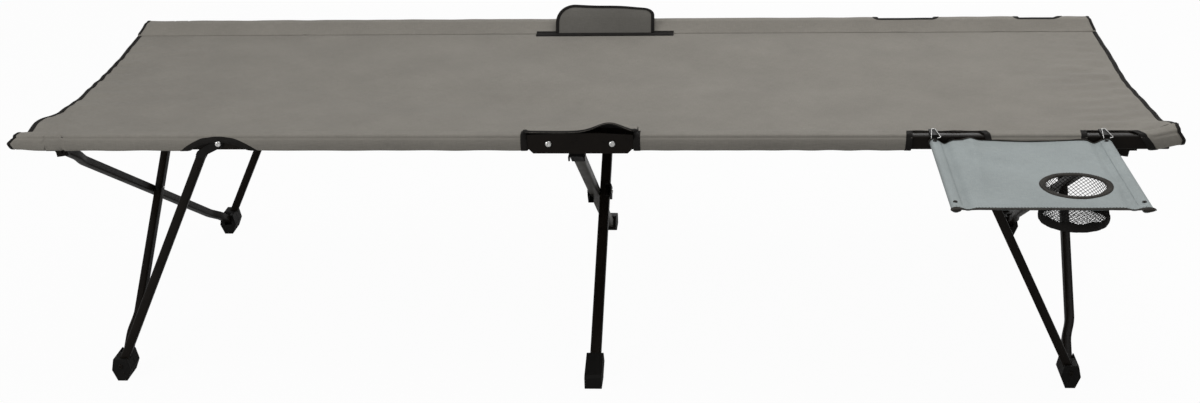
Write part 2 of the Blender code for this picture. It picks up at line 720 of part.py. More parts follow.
def leg(corner):
    """A leg: a fork that straddles the rail, a square tube set off to the outside, and the front foot."""
    frame = f"leg_{corner.name}"
    half = LEG_SIZE / 2
    slope = math.atan2(LEG_OFFSET, LEG_LENGTH)
    start = -FORK_TUBE_START
    tilt = corner.end * slope
    toward_foot = Matrix.Translation((0, 0, -LEG_LENGTH)) @ Matrix.Rotation(tilt, 4, "Y")
    tube_length = math.hypot(LEG_OFFSET, LEG_LENGTH)
    tube_top = tube_length + start
    tube = square_tube(half, LEG_WALL, LEG_TUBE_SHORT, tube_top, "Z")
    piece(f"{frame}_tube", frame, moved(tube, toward_foot), BLACK_PAINT, True)

    inside = RAIL_HALF + PLAY
    outside = inside + FORK_PLATE
    block_low = start + PLAY + half * math.tan(slope)
    centre = corner_line(slope, start)
    outline = arc(FORK_HEAD_RADIUS, (0, 0), *FORK_HEAD_ARC, ROUND_END_POINTS)
    outline += [
        (centre - half, start + FORK_SHOULDER),
        (centre - half, block_low),
        (centre + half, block_low),
        (centre + half, start + FORK_SHOULDER),
    ]
    fork = piece(f"{frame}_fork", frame, corner.side_prism(outline, -outside, outside), BLACK_PLASTIC)
    wide = LEG_LENGTH
    cut(fork, box((-wide, -inside, -FORK_THROAT), (wide, inside, wide)), "rail_gap")
    for face, label in ((-1, "outer"), (1, "inner")):
        low = (centre - LEG_SIZE * 2, face * (half + FORK_COLLAR), start - LEG_SIZE)
        high = (centre + LEG_SIZE * 2, face * RAIL_SIZE, start + FORK_COLLAR_HEIGHT)
        cut(fork, corner.box(low, high), f"shoulder_{label}")
    reach = outside - FORK_PLATE / 2
    fuse(fork, rod((0, -reach, 0), (0, reach, 0), PIN_RADIUS), "pin")
    spigot_low = tube_top - FORK_SPIGOT
    spigot_high = tube_top + FORK_COLLAR_HEIGHT / 2
    spigot = square_spigot(half - LEG_WALL, TUBE_CORNER - LEG_WALL, spigot_low, spigot_high)
    fuse(fork, moved(spigot, toward_foot), "spigot")

    outline = foot_outline()
    lean = corner.end * LEG_LEAN
    down = Matrix.Translation((0, 0, -LEG_LENGTH)) @ Matrix.Rotation(lean, 4, "Y")
    body = moved(corner.side_prism(outline, -FRONT_FOOT_OUT, FRONT_FOOT_IN), down)
    foot = piece(f"foot_front_{corner.name}", frame, body, BLACK_PLASTIC)
    seat = half + PLAY
    socket = box((-seat, -seat, LEG_TUBE_SHORT - PLAY), (seat, seat, FOOT_HEIGHT * 2))
    cut(foot, moved(socket, toward_foot), "socket")


def corner_line(slope, height):
    """How far the leg tube's axis lies outside the line from the rail rivet to the foot pivot."""
    return math.tan(slope) * (height + LEG_LENGTH)


def foot_outline():
    """The six-sided outline of a corner foot, about the foot's pivot: flat sole, wide waist, narrow top."""
    sole = -FOOT_PIVOT_HEIGHT
    waist = sole + FOOT_MAX_HEIGHT
    top = sole + FOOT_HEIGHT
    right = [(FOOT_BOTTOM_WIDTH / 2, sole), (FOOT_MAX_WIDTH / 2, waist), (FOOT_TOP_WIDTH / 2, top)]
    return right + [(-a, b) for a, b in reversed(right)]


def brace(corner):
    """A brace tube, joggled near both ends so that two braces cross side by side.

    Seen from the side it is a ribbon with two joggles, and seen from the front a bar with round ends:
    the solid is what the two outlines share. On the left the near yoke's brace steps out and the far one's
    in, and on the right the other way, because the right end is the left one turned round.
    """
    frame = f"brace_{corner.name}"
    half = BRACE_SIZE / 2
    shift = BRACE_SHIFT * corner.end * corner.side
    stations = [(half, 0.0), (-JOGGLE_START, 0.0), (-JOGGLE_END, shift)]
    stations += [(-BRACE_LENGTH - z, x) for z, x in reversed(stations)]
    right = [(x + half, z) for z, x in stations]
    left = [(x - half, z) for z, x in reversed(stations)]
    ribbon = corner.side_prism(right + left, -half, half)
    obj = piece(frame, frame, ribbon, BLACK_PAINT)
    front = arc(half, (0, 0), 0.0, math.pi, ROUND_END_POINTS)
    front += arc(half, (0, -BRACE_LENGTH), math.pi, 2 * math.pi, ROUND_END_POINTS)
    shape(obj, prism([front], -BRACE_SIZE * 2, BRACE_SIZE * 2, "X"), "INTERSECT", "round_ends")
    wide = Vector((BRACE_SIZE * 2, 0, 0))
    for label, height in (("top_hole", 0.0), ("cross_hole", -CROSS_DISTANCE), ("foot_hole", -BRACE_LENGTH)):
        middle = Vector((0, 0, height))
        cut(obj, rod(middle - wide, middle + wide, PIN_HOLE_RADIUS), label)
    if corner.side == NEAR:
        reach = BRACE_SIZE + BRACE_CROSS_GAP + BRACE_RIVET_PAST
        start = Vector((-reach, 0, -CROSS_DISTANCE))
        rivet = rod(start, start + Vector((2 * reach, 0, 0)), PIN_RADIUS)
        piece(f"brace_rivet_{END_NAMES[corner.end]}", frame, rivet, BRIGHT_STEEL, True)


def rear_foot(corner):
    """The rear foot block at the lower end of a brace, under the rail across the cot."""
    across = Corner(corner.end, -corner.side)
    low = RAIL_HALF - PIVOT_INSET + REAR_FOOT_START
    body = across.side_prism(foot_outline(), low, REAR_FOOT_REACH)
    frame = f"foot_{corner.name}"
    obj = piece(f"foot_rear_{across.name}", frame, body, BLACK_PLASTIC)
    gap = BRACE_SIZE / 2 + PLAY
    clear = BRACE_SIZE / 2 + REAR_FOOT_CLEARANCE
    slot = across.box((-gap, -clear, -clear), (gap, FOOT_HEIGHT, FOOT_HEIGHT))
    lean = Matrix.Rotation(corner.end * YOKE_LEAN, 4, "Y")
    cut(obj, moved(slot, lean), "slot")
    reach = gap + PLATE
    pin = across.rod((-reach, 0, 0), (reach, 0, 0), PIN_RADIUS)
    fuse(obj, moved(pin, lean), "pin")


def sag(y):
    """How far the bed's fabric hangs below its edge at a distance from the middle line."""
    return BED_SAG * (1 - (y / BED_HALF_WIDTH) ** 2)


def bed_sheet(name, frame, low_x, high_x, columns):
    """Part of the bed between two ends, with its sag across and, at a cot end, its drawn-in edge."""
    bm = bmesh.new()
    bmesh.ops.create_grid(bm, x_segments=columns, y_segments=BED_ROWS, size=1.0)
    middle = (low_x + high_x) / 2
    origin = PLACES[frame].to_translation()
    level = RAIL_HEIGHT - BED_EDGE_DROP
    for vert in bm.verts:
        x = middle + vert.co.x * (high_x - low_x) / 2
        y = vert.co.y * BED_HALF_WIDTH
        share = max(0.0, (abs(x) - HINGE_X) / (FABRIC_END_X - HINGE_X))
        pulled = BED_END_CURVE * share ** 2 * (1 - (y / BED_HALF_WIDTH) ** 2)
        x -= math.copysign(pulled, x)
        vert.co = cot_point(x, y, level - sag(y)) - origin
    obj = piece(name, frame, bm, BED_FABRIC, True)
    thick = obj.modifiers.new("cloth", "SOLIDIFY")
    thick.thickness = BED_CLOTH
    thick.offset = 0.0
    return obj


def bed():
    """The bed's left and right halves, which start at the hinges, and the part between them.

    The edges are cut back along the hinge brackets and at the leg forks.
    """
    bracket_reach = RAIL_HALF + 2 * PLAY + BRACKET_PLATE
    fork_reach = RAIL_HALF + PLAY + FORK_PLATE + SLEEVE_CLEARANCE
    bracket = (BRACKET_HALF_LENGTH + HINGE_X) / 2
    notches = (
        ("fork", LEG_PIVOT_X, BED_FORK_NOTCH, fork_reach),
        ("bracket", bracket, bracket - HINGE_X + SLEEVE_CLEARANCE, bracket_reach),
    )
    for end in (LEFT, RIGHT):
        low_x, high_x = sorted((end * (HINGE_X + PLAY), end * FABRIC_END_X))
        frame = f"rail_{END_NAMES[end]}_near"
        obj = bed_sheet(f"bed_{END_NAMES[end]}", frame, low_x, high_x, BED_COLUMNS)
        origin = PLACES[frame].to_translation()
        for side in (NEAR, FAR):
            for label, x, half, reach in notches:
                centre = rail_centre(side) + Vector((end * x, 0, 0)) - origin
                size = Vector((half, reach, RAIL_SIZE))
                cut(obj, box(centre - size, centre + size), f"{label}_{SIDE_NAMES[side]}")
    obj = bed_sheet("bed_mid", "root", -HINGE_X, HINGE_X, BED_MID_COLUMNS)
    origin = PLACES["root"].to_translation()
    for side in (NEAR, FAR):
        centre = rail_centre(side) - origin
        size = Vector((SLEEVE_START_X, bracket_reach, RAIL_SIZE))
        cut(obj, box(centre - size, centre + size), f"bracket_{SIDE_NAMES[side]}")


def flap(side):
    """The loose fabric over a hinge bracket: the near one lies flat inward, the far one stands up."""
    frame = "root" if side == NEAR else "bracket_far"
    place = Matrix.Translation(rail_centre(side) - PLACES[frame].to_translation())
    base = BRACKET_ABOVE + BRACKET_PLATE + PLAY
    edge = RAIL_HALF + BRACKET_PLATE
    if side == NEAR:
        path = [(-edge, base), (edge, base), (NEAR_FLAP_REACH, base - NEAR_FLAP_DROP)]
        lean = 0.0
    else:
        bend = FAR_FLAP_RISE / 3
        path = [(edge, base), (bend - edge, base), (-edge, base + bend), (-edge, base + FAR_FLAP_RISE)]
        lean = FLAP_CLOTH
    under = [(-side * a, b) for a, b in path]
    over = [(-side * (a + lean), b + FLAP_CLOTH) for a, b in path]
    cloth = prism([under + over[::-1]], -FLAP_HALF_LENGTH, FLAP_HALF_LENGTH, "X")
    piece(f"flap_{SIDE_NAMES[side]}", frame, moved(cloth, place), BED_FABRIC)


def table():
    """The side table: fabric top sewn round two arms, a hook on each arm, and the cup basket."""
    arm_z = ARM_ABOVE_RAIL
    start_y = -TABLE_START
    edge_y = start_y - TABLE_DEPTH
    top_z = arm_z + ARM_RADIUS + PLAY + TABLE_CLOTH
    sleeve_radius = ARM_RADIUS + PLAY + TABLE_CLOTH
    left, right = ARMS_X
    seam = math.asin((ARM_RADIUS + PLAY) / sleeve_radius)
    top_turn = math.pi / 2
    outline = arc(sleeve_radius, (left, arm_z), top_turn, 2 * math.pi + seam, SEAM_POINTS)
    outline += arc(sleeve_radius, (right, arm_z), math.pi - seam, 2 * math.pi + top_turn, SEAM_POINTS)
    loops = [outline] + [circle(ARM_RADIUS + 2 * PLAY, (x, arm_z)) for x in ARMS_X]
    top = piece("table_top", "table", prism(loops, edge_y, start_y, "Y"), TABLE_FABRIC)
    cup_y = edge_y + CUP_FROM_EDGE
    hole_radius = CUP_RADIUS + CUP_RING_WIDTH + PLAY
    low_z, high_z = top_z - CUP_HOLE_DEPTH, top_z + CUP_HOLE_DEPTH
    hole = rod((CUP_X, cup_y, low_z), (CUP_X, cup_y, high_z), hole_radius, CUP_SEGMENTS)
    cut(top, hole, "cup_hole")
    for x, label in zip(ARMS_X, ("left", "right")):
        loops = [circle(ARM_RADIUS, (x, arm_z)), circle(ARM_RADIUS - ARM_WALL, (x, arm_z))]
        arm = prism(loops, edge_y + PLAY, start_y, "Y")
        piece(f"table_arm_{label}", "table", arm, BLACK_PAINT, True)
        table_hook(x, label, arm_z)
    cup(CUP_X, cup_y, top_z)


def table_hook(x, label, arm_z):
    """A hook over the rail: its plate runs down outside, over the top and a little down inside."""
    inside = RAIL_HALF + PLAY
    outside = inside + HOOK_PLATE
    outline = [
        (outside, HOOK_LIP),
        (outside, outside),
        (-outside, outside),
        (-outside, -HOOK_BELOW),
        (-inside, -HOOK_BELOW),
        (-inside, inside),
        (inside, inside),
        (inside, HOOK_LIP),
    ]
    half = HOOK_WIDTH / 2
    obj = piece(f"table_hook_{label}", "table", prism([outline], x - half, x + half, "X"), BLACK_PLASTIC)
    spigot_radius = ARM_RADIUS - ARM_WALL - PLAY
    start = (x, -inside - HOOK_PLATE / 2, arm_z)
    fuse(obj, rod(start, (x, -outside - HOOK_SPIGOT, arm_z), spigot_radius), "spigot")


def cup(x, y, top_z):
    """The cup hole's ring and the basket that hangs from it."""
    place = Matrix.Translation((x, y, top_z))
    outer = CUP_RADIUS + CUP_RING_WIDTH
    ring = [
        (outer, CUP_RING_HEIGHT / 2),
        (outer, -CUP_RING_HEIGHT / 2),
        (CUP_RADIUS, -CUP_RING_HEIGHT / 2),
        (CUP_RADIUS, CUP_RING_HEIGHT / 2),
    ]
    piece("cup_ring", "table", moved(revolved(ring, CUP_SEGMENTS), place), BLACK_BINDING, True)
    top = -CUP_RING_HEIGHT / 2 - PLAY
    bottom = top - BASKET_DEPTH
    rim = CUP_RADIUS + BASKET_WALL
    base = BASKET_BASE_RADIUS
    band = bottom + BASKET_BASE_BAND
    profile = [
        (0.0, bottom + BASKET_BASE_THICKNESS),
        (base - BASKET_WALL, bottom + BASKET_BASE_THICKNESS),
        (base - BASKET_WALL, band),
        (CUP_RADIUS, top),
        (rim, top),
        (base, band),
        (base, bottom),
        (0.0, bottom),
    ]
    piece("cup_basket", "table", moved(revolved(profile, CUP_SEGMENTS), place), BLACK_MESH, True)


def build_cot():
    """Make every piece."""
    make_frames()
    for side in (NEAR, FAR):
        hinge_bracket(side)
        mid_leg(side)
        flap(side)
    for corner in CORNERS:
        rail(corner)
        sleeve(corner)
        rail_lug(corner)
        yoke(corner)
        leg(corner)
        brace(corner)
        rear_foot(corner)
    bed()
    table()


build_cot()
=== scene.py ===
"""Looks of a folding camping cot with a hook-on side table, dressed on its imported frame.

Metres, +Z up, +X along the cot towards the table's end, -Y towards the viewer. Laid out as an add-on: each
group of pieces has an operator, and main() calls them in order.
"""

import json

import bmesh
import bpy
import numpy as np
from mathutils import Matrix, Vector


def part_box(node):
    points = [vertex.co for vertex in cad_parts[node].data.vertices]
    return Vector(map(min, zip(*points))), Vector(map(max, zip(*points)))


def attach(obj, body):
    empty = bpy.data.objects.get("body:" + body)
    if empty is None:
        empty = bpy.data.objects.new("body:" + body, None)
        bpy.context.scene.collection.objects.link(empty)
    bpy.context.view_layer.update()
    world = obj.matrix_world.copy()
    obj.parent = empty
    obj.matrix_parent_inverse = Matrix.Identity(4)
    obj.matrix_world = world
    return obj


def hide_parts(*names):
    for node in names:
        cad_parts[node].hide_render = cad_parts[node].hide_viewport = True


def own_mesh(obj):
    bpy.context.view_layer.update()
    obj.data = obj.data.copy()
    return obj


bl_info = {
    "name": "Camping cot",
    "version": (1, 0, 0),
    "blender": (4, 5, 0),
    "location": "View3D > Sidebar > Cot",
    "description": "Fabric, bindings, fasteners and finishes of a folding camping cot with a side table",
    "category": "Object",
}

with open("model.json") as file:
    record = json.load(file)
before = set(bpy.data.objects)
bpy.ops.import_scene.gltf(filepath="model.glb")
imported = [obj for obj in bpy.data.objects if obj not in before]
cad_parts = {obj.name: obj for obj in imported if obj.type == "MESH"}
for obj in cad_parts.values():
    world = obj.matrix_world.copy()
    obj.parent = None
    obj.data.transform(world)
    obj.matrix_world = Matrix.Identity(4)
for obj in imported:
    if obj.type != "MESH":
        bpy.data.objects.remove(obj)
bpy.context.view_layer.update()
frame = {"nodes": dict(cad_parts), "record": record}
JOINTS = {joint["name"]: joint for joint in frame["record"]["behaviour"]["joints"]}

SIDES = {"near": -1, "far": 1}
ENDS = {"left": -1, "right": 1}
CORNERS = [(end, side) for end in ENDS for side in SIDES]
AT_CORNERS = [f"{end}_{side}" for end, side in CORNERS]


def node_box(name):
    """Lowest and highest corner of a frame node, as arrays."""
    low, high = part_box(name)
    return np.array(low), np.array(high)


def node_middle(name):
    """Middle of a frame node's box."""
    low, high = node_box(name)
    return (low + high) / 2


def joint_place(name):
    """Place of a joint at rest."""
    return np.array(JOINTS[name]["pos_m"])


# Places of the frame, read from its nodes and joints
RAIL_Y = {side: node_middle(f"rail_left_{side}")[1] for side in SIDES}
RAIL_Z = node_middle("rail_left_near")[2]
RAIL_HALF = (node_box("rail_left_near")[1][2] - node_box("rail_left_near")[0][2]) / 2
RAIL_END = node_box("rail_right_near")[1][0]
FABRIC_END = node_box("sleeve_right_near")[1][0]
HINGE_X = JOINTS["rail_turn_right_near"]["pos_m"][0]
KNEE_X = JOINTS["leg_turn_right_near"]["pos_m"][0]
LUG_X = JOINTS["yoke_turn_right_near"]["pos_m"][0]
BED_MIDDLE_Y = (RAIL_Y["near"] + RAIL_Y["far"]) / 2
RAIL_SPACING = RAIL_Y["far"] - RAIL_Y["near"]
HOOK_X = [node_middle(f"table_hook_{end}")[0] for end in ENDS]
SLEEVE_OVER = 0.0055
SLEEVE_START = node_box("sleeve_right_near")[0][0] - SLEEVE_OVER

# The fabric roll round a rail
ROLL_HALF = 0.0141
ROLL_SQUARENESS = 4.6
ROLL_BULGE = 0.085
BULGE_HALF = 0.006
GROOVE_DEPTH = 0.0019
GROOVE_ANGLE = 0.68
GROOVE_WIDTH = 0.15
ROLL_TAIL = 0.042
TAIL_SAG = 0.0012
BED_LAP = 0.0015
BED_DROP = 0.005
ROLL_STEPS = 720
TAIL_STEPS = 121
SECTION_STEP = 0.0002
SEAM_WIDTH = 0.004
CORNER_UP = 0.0095
CORNER_SMOOTHING = 60
ROLL_SWELL = 0.00035
FLARE = 0.0016
FLARE_INSIDE = 0.02
FLARE_LENGTH = 0.035
FLARE_TURN = 0.014
DRAWN_LENGTH = 0.090
ARCH_HALF = 0.066
ARCH_UP = 0.004
ARCH_POWER = 0.8
INNER_ARCH_HALF = 0.058
HOOK_CUTS = ((0.571, 0.712, 0.020), (0.869, 0.988, 0.042))
HOOK_CUT_INNER = {"near": 0.0105, "far": 0.0010}
HOOK_CUT_RISE = 0.007
LUG_CUT_HALF = 0.0195
LUG_CUT_RAMP = 0.004
LUG_CUT_LOW = 0.0125
STATION_GAP = 0.0004
SLEEVE_ROWS = (88, 24)
START_TAPE = {"near": 0.0105, "far": 0.003}
END_TAPE = 0.0045

# Walls of the cloth and its tapes, and the stitches
CLOTH = 0.0011
TAPE_WALL = 0.0008
TAPE_LIFT = 0.0009
TAPE_PAST_EDGE = 0.0016
TAPE_RISE = 0.0013
BED_TAPE_WALL = 0.0006
STRIP_OVER = 0.0012
STRIP_RIM = 0.003
STRIP_ROWS = 6
STITCH = (0.0034, 0.0007, 0.0007)
STITCH_STEP = 0.0055

# The bed's cloth
BED_HALF = RAIL_SPACING / 2 - ROLL_TAIL + BED_LAP
BED_LEVEL = RAIL_Z - BED_DROP
BED_ROWS = 110
BED_CROWDING = 0.75
END_WAVE = 0.0004
SOFT_WAVE = 0.0030
FINE_LINES = 0.0009
FOLD_REACH = (0.075, 0.06)
FOLD_START = 0.022
BED_PARTS = {
    "left": ("rail_left_near", -FABRIC_END, -HINGE_X, 150),
    "mid": ("middle_near", -HINGE_X, HINGE_X, 12),
    "right": ("rail_right_near", HINGE_X, FABRIC_END, 150),
}

# At the bottom, the outer side, the outer top corner, the top and the tail of a roll: how far the cloth's
# end lies past its nominal end, and how far it is raised there
ROLL_ENDS = {
    ("left", "near"): (-0.0100, -0.0010, -0.0125, -0.0120, -0.0130),
    ("left", "far"): (-0.0060, -0.0060, -0.0060, -0.0060, 0.0020),
    ("right", "near"): (0.0095, 0.0115, 0.0030, 0.0020, 0.0095),
    ("right", "far"): (-0.0020, -0.0020, -0.0030, -0.0030, 0.0040),
}
ROLL_RISES = {
    ("left", "near"): (0.0050, 0.0020, 0.0, 0.0, 0.0020),
    ("left", "far"): (0.0, 0.0, 0.0, 0.0, 0.0),
    ("right", "near"): (0.0140, 0.0070, 0.0085, 0.0135, 0.0200),
    ("right", "far"): (0.0, 0.0, 0.0, 0.0, 0.0),
}
RISE_LENGTH = 0.050

# How far the bed's end lies past its nominal end, at even places from the near side to the far side
BED_ENDS = {
    "left": (-0.012, -0.005, -0.009, -0.0147, -0.0129, -0.0105, -0.0095, -0.0072, -0.0056, -0.0019, 0.0025),
    "right": (0.0100, 0.0095, 0.0090, 0.0075, 0.0030, 0.0012, 0.0025, 0.0047, 0.0045, 0.0052, 0.0050),
}
CORNER_LIFT = {"left": 0.008, "right": 0.003}
CORNER_PLACE = -0.80
CORNER_HALF = 0.16
CORNER_LENGTH = 0.080

# A shallow dent at the bed's far left corner: depth, x, place across, reach both ways, slant and width
DENT_DEPTH = 0.0035
DENT_X = -0.93
DENT_V = 0.80
DENT_REACH = (0.16, 0.42)
DENT_SLANT = 0.16
DENT_HALF = 0.030

# The flaps: foot over the bed, wall and tape. Each has its half width, its middle's x, its corners' radii
# and its free edge's slope, then its path in (y, z). Last are the near one's bare share and the strips
FLAP_FOOT = 0.0015
FLAP_WALL = 0.0012
FLAP_TAPE = 0.0055
FAR_FLAP = (0.1045, -0.007, (0.042, 0.022), 0.17)
FAR_PATH = ((0.0, 0.0), (0.0075, 0.016), (0.015, 0.0315), (0.0235, 0.0445), (0.0335, 0.0550))
NEAR_FLAP = (0.1, 0.0, (0.012, 0.012), 0.0)
NEAR_OVER = ((0.0, 0.0), (-0.0075, 0.0090), (-0.0160, 0.0175), (-0.0245, 0.0240))
NEAR_PATH = (*NEAR_OVER, (-0.0380, 0.0249), (-0.0500, 0.0249), (-0.0590, 0.0247))
NEAR_BARE = 0.86
STRIP_ENDS = (-0.154, 0.140)
STRIP_ACROSS = (-0.004, 0.017)
STRIP_SLOPE = 0.62

# Nodes that keep their shape, by finish
PAINTED = [f"{kind}_{at}" for kind in ("rail", "rail_lug", "yoke") for at in AT_CORNERS]
PAINTED += [f"leg_{at}_tube" for at in AT_CORNERS]
PAINTED += [f"hinge_bracket_{side}" for side in SIDES] + [f"mid_leg_{side}_tube" for side in SIDES]
PAINTED += [f"table_arm_{end}" for end in ENDS]
MOULDED = [f"leg_{at}_fork" for at in AT_CORNERS]
MOULDED += [f"foot_{row}_{at}" for row in ("front", "rear") for at in AT_CORNERS]
MOULDED += [f"mid_leg_{side}_{part}" for part in ("plug", "foot") for side in SIDES]
MOULDED += [f"table_hook_{end}" for end in ENDS]
STEEL_PINS = ["mid_leg_near_rivet", "brace_rivet_left", "brace_rivet_right"]
PRESSED_EDGE = 0.0005
MOULDED_EDGE = 0.0009

# A brace: half its width, its corners' radius, how far its even stations stay from both ends, its sideways
# step with its start and length, and its end caps' places and thinner shares
BRACE_HALF = 0.008
BRACE_CORNER = 0.0032
BRACE_END = 0.012
BRACE_STEP = 0.0083
BRACE_STEP_START = 0.047
BRACE_STEP_LENGTH = 0.056
CAP_AWAY = np.array([-0.008, -0.0055, 0.0])
CAP_SHARES = (0.35, 0.8)

# Heads of rivets and screws: radius, height and the dimple's share of the radius
HINGE_HEAD = (0.0058, 0.0034, 0.35)
KNEE_HEAD = (0.0055, 0.0030, 0.35)
BACK_HEAD = (0.0045, 0.0022, 0.35)
BOLT_HEAD = (0.0048, 0.0022, 0.3)
CROSS_HEAD = (0.0046, 0.0024, 0.3)
TUBE_HEAD = (0.0030, 0.0016, 0.3)
FOOT_DOT = (0.0022, 0.0010, 0.3)
BRACKET_DOT = (0.0017, 0.0006, 0.3)
TABLE_SCREW = (0.0036, 0.0014, 0.45)
BRACKET_OUT = RAIL_HALF + 0.0033
KNEE_OUT = RAIL_HALF + 0.0030

# The plug in a rail's end: its sections' places past the rail's end and their sizes
PLUG_CORNER = 0.003
PLUG_X = np.array([-0.006, -0.006, 0.0, 0.0012, 0.0018])
PLUG_SIZE = np.array([0.6, 0.86, 0.98, 0.94, 0.7])[:, None]

# The mid legs' crossing: half a tube, its offset, and the saddle's wall, half length, play and lip
MID_CROSS = joint_place("mid_legs_cross")
MID_PIVOT = {"near": joint_place("fold"), "far": joint_place("middle_far_hinge")}
MID_LEG_HALF = 0.010
MID_LEG_OFFSET = 0.0103
SADDLE_WALL = 0.0032
SADDLE_HALF = 0.019
SADDLE_PLAY = (0.0004, 0.0003)
SADDLE_SHAPE = np.array([[-1, 0.25], [-1, 1], [1, 1], [1, 0.25]])
SADDLE_EDGE = 0.0010

# Clevis plates' inner and outer faces from the mid leg's middle, their round ends, and the leg's end block
CLEVIS_PLATE = (0.0132, 0.0152)
CLEVIS_RADIUS = 0.0105
CLEVIS_DROP = 0.009
END_BLOCK_HALF = 0.0122
END_BLOCK_RUN = (-0.006, 0.038)
END_BLOCK_EDGE = 0.0012

# The side table: its arms, cup hole, the pockets' swell, and the seam that closes beyond the arms' ends
TABLE_LOW, TABLE_HIGH = node_box("table_top")
ARM_X = [node_middle(f"table_arm_{end}")[0] for end in ENDS]
ARM_Z = node_middle("table_arm_left")[2]
ARM_GAP = ARM_X[1] - ARM_X[0]
RING_MIDDLE = node_middle("cup_ring")
CUP_RING_OUT = (node_box("cup_ring")[1][0] - node_box("cup_ring")[0][0]) / 2
CUP_HOLE = CUP_RING_OUT - 0.0066
TABLE_ROLL = (TABLE_HIGH[2] - TABLE_LOW[2]) / 2
ARM_WRAP = np.pi * TABLE_ROLL * 1.5
TABLE_WIDTH = 3 * np.pi * TABLE_ROLL + ARM_X[1] - ARM_X[0]
TABLE_CLOSE = 0.0105
TABLE_NEAR = TABLE_LOW[1] - TABLE_CLOSE
TABLE_SWELL = {"left": 1.15, "right": 1.65}
CLOSE_LEVEL = ARM_Z + 0.5 * TABLE_ROLL
CLOSE_SHARE = 0.93
TABLE_WALL = 0.0013
TABLE_TAPE_WALL = 0.0007
TABLE_TAPES = (("near", TABLE_NEAR, -1, 0.0055), ("far", TABLE_HIGH[1], 1, 0.0045))

# Depths and heights in the table's cloth, and its valleys beside the arms as place and half width
TABLE_DISH = 0.0045
TABLE_CREASE = 0.0060
TABLE_FOLD = 0.0040
TABLE_VALLEY = 0.0065
VALLEYS = ((0.060, 0.030), (0.935, 0.034))
TABLE_SOFT = 0.0020
TABLE_STITCH_STEP = 0.005
TABLE_STITCH_LIFT = 0.0003
ARM_SEAM = 0.0105
NEAR_SEAM = 0.0070

# The ring of the cup hole and the basket
RING_INSET = 0.0012
RING_OVER = 0.0022
RING_HALF_HEIGHT = 0.0021
RING_SINK = 0.0006
RING_STITCHES = 72
RING_STITCH_LIFT = 0.0016
BAND_HEIGHT = 0.015
BAND_LAP = 0.002
BAND_WALL = 0.0014
BASKET_SWELL = 0.0014
NET_COLUMNS = 44
NET_ROWS = 8
NET_CORD = 0.0013
NET_FLOOR_LINES = 15
NET_FLOOR_CORD = 0.0010

# The wire clips on the table's hooks
CLIP_HALF = 0.0075
CLIP_WIRE = 0.0006
CLIP_INSET = 0.004
CLIP_OVER = 0.0008

# Camera values of the view, in pixels of a 1200 x 403 picture and in metres and radians
IMAGE_WIDTH = 1200
VIEW_FOCAL = 1670.18
VIEW_SHIFT = (31.19, -9.76)
VIEW_PLACE = (0.26389, BED_MIDDLE_Y - 3.12569, 1.45538)
VIEW_PITCH = 0.37198
VIEW_YAW = -0.06426
VIEW_ROLL = -0.02237
SENSOR = 36.0

# Floor and lamps: place, size and share of the main lamp's power
FLOOR_REACH = 14.0
FLOOR_LEVEL = -0.0002
FLOOR_WHITE = 0.965
LAMP_AIM = (0, 0.1, 0.4)
LAMPS = {
    "lamp_over": ((1.0, 0.3, 3.0), 2.6, 1.0),
    "lamp_front": ((-2.6, -2.0, 1.6), 1.4, 0.7),
    "lamp_back": ((1.2, 3.4, 1.9), 1.6, 0.35),
}
WHITE = (1.0, 1.0, 1.0, 1.0)

# Merging distances, sharp angles in degrees and the rounding of edges
MERGE = 1e-6
NODE_MERGE = 2e-6
FLAT_ANGLE = 0.5
EDGE_SEGMENTS = 2
EDGE_ANGLE = 30.0


def smooth_step(share):
    """0 to 1 with level ends: 3 t squared less 2 t cubed."""
    share = np.clip(share, 0.0, 1.0)
    return share * share * (3 - 2 * share)


def unit(vectors):
    """Vectors of length one along the last axis."""
    return vectors / np.maximum(np.linalg.norm(vectors, axis=-1, keepdims=True), 1e-12)


def waves(u, v, seed, count, low, high):
    """Sum of sine waves with seeded directions, numbers of turns and phases, about -1 to 1."""
    draw = np.random.default_rng(seed)
    turns = draw.uniform(low, high, count)
    heading = draw.uniform(0, 2 * np.pi, count)
    phase = draw.uniform(0, 2 * np.pi, count)
    total = np.zeros(np.broadcast(u, v).shape)
    for turn, angle, start in zip(turns, heading, phase):
        total = total + np.sin(2 * np.pi * turn * (u * np.cos(angle) + v * np.sin(angle)) + start)
    return total / count ** 0.5


def smoothed(values, times):
    """Values averaged with their neighbours several times, ends kept."""
    for _ in range(times):
        inner = (values[:-2] + 2 * values[1:-1] + values[2:]) / 4
        values = np.concatenate([values[:1], inner, values[-1:]])
    return values


def stacked(*parts):
    """Arrays or numbers of one common shape side by side along a new last axis."""
    return np.stack(np.broadcast_arrays(*parts), axis=-1)


def full_turn(count):
    """Angles of a full turn in even steps, without the last."""
    return np.linspace(0, 2 * np.pi, count, endpoint=False)


def running_length(curve):
    """Length along a curve from its start to each of its points."""
    return np.concatenate([[0.0], np.cumsum(np.linalg.norm(np.diff(curve, axis=0), axis=1))])


def evenly(curve, spacing):
    """The same curve with its points a constant distance apart."""
    length = running_length(curve)
    marks = np.linspace(0, length[-1], max(4, int(length[-1] / spacing) + 1))
    return stacked(*(np.interp(marks, length, values) for values in curve.T))


def lathe_grid(profile, segments):
    """Profile of (radius, height) turned about Z: rows go round, columns run along the profile."""
    turn = full_turn(segments)[:, None]
    radius, height = profile.T
    return stacked(np.cos(turn) * radius, np.sin(turn) * radius, height)


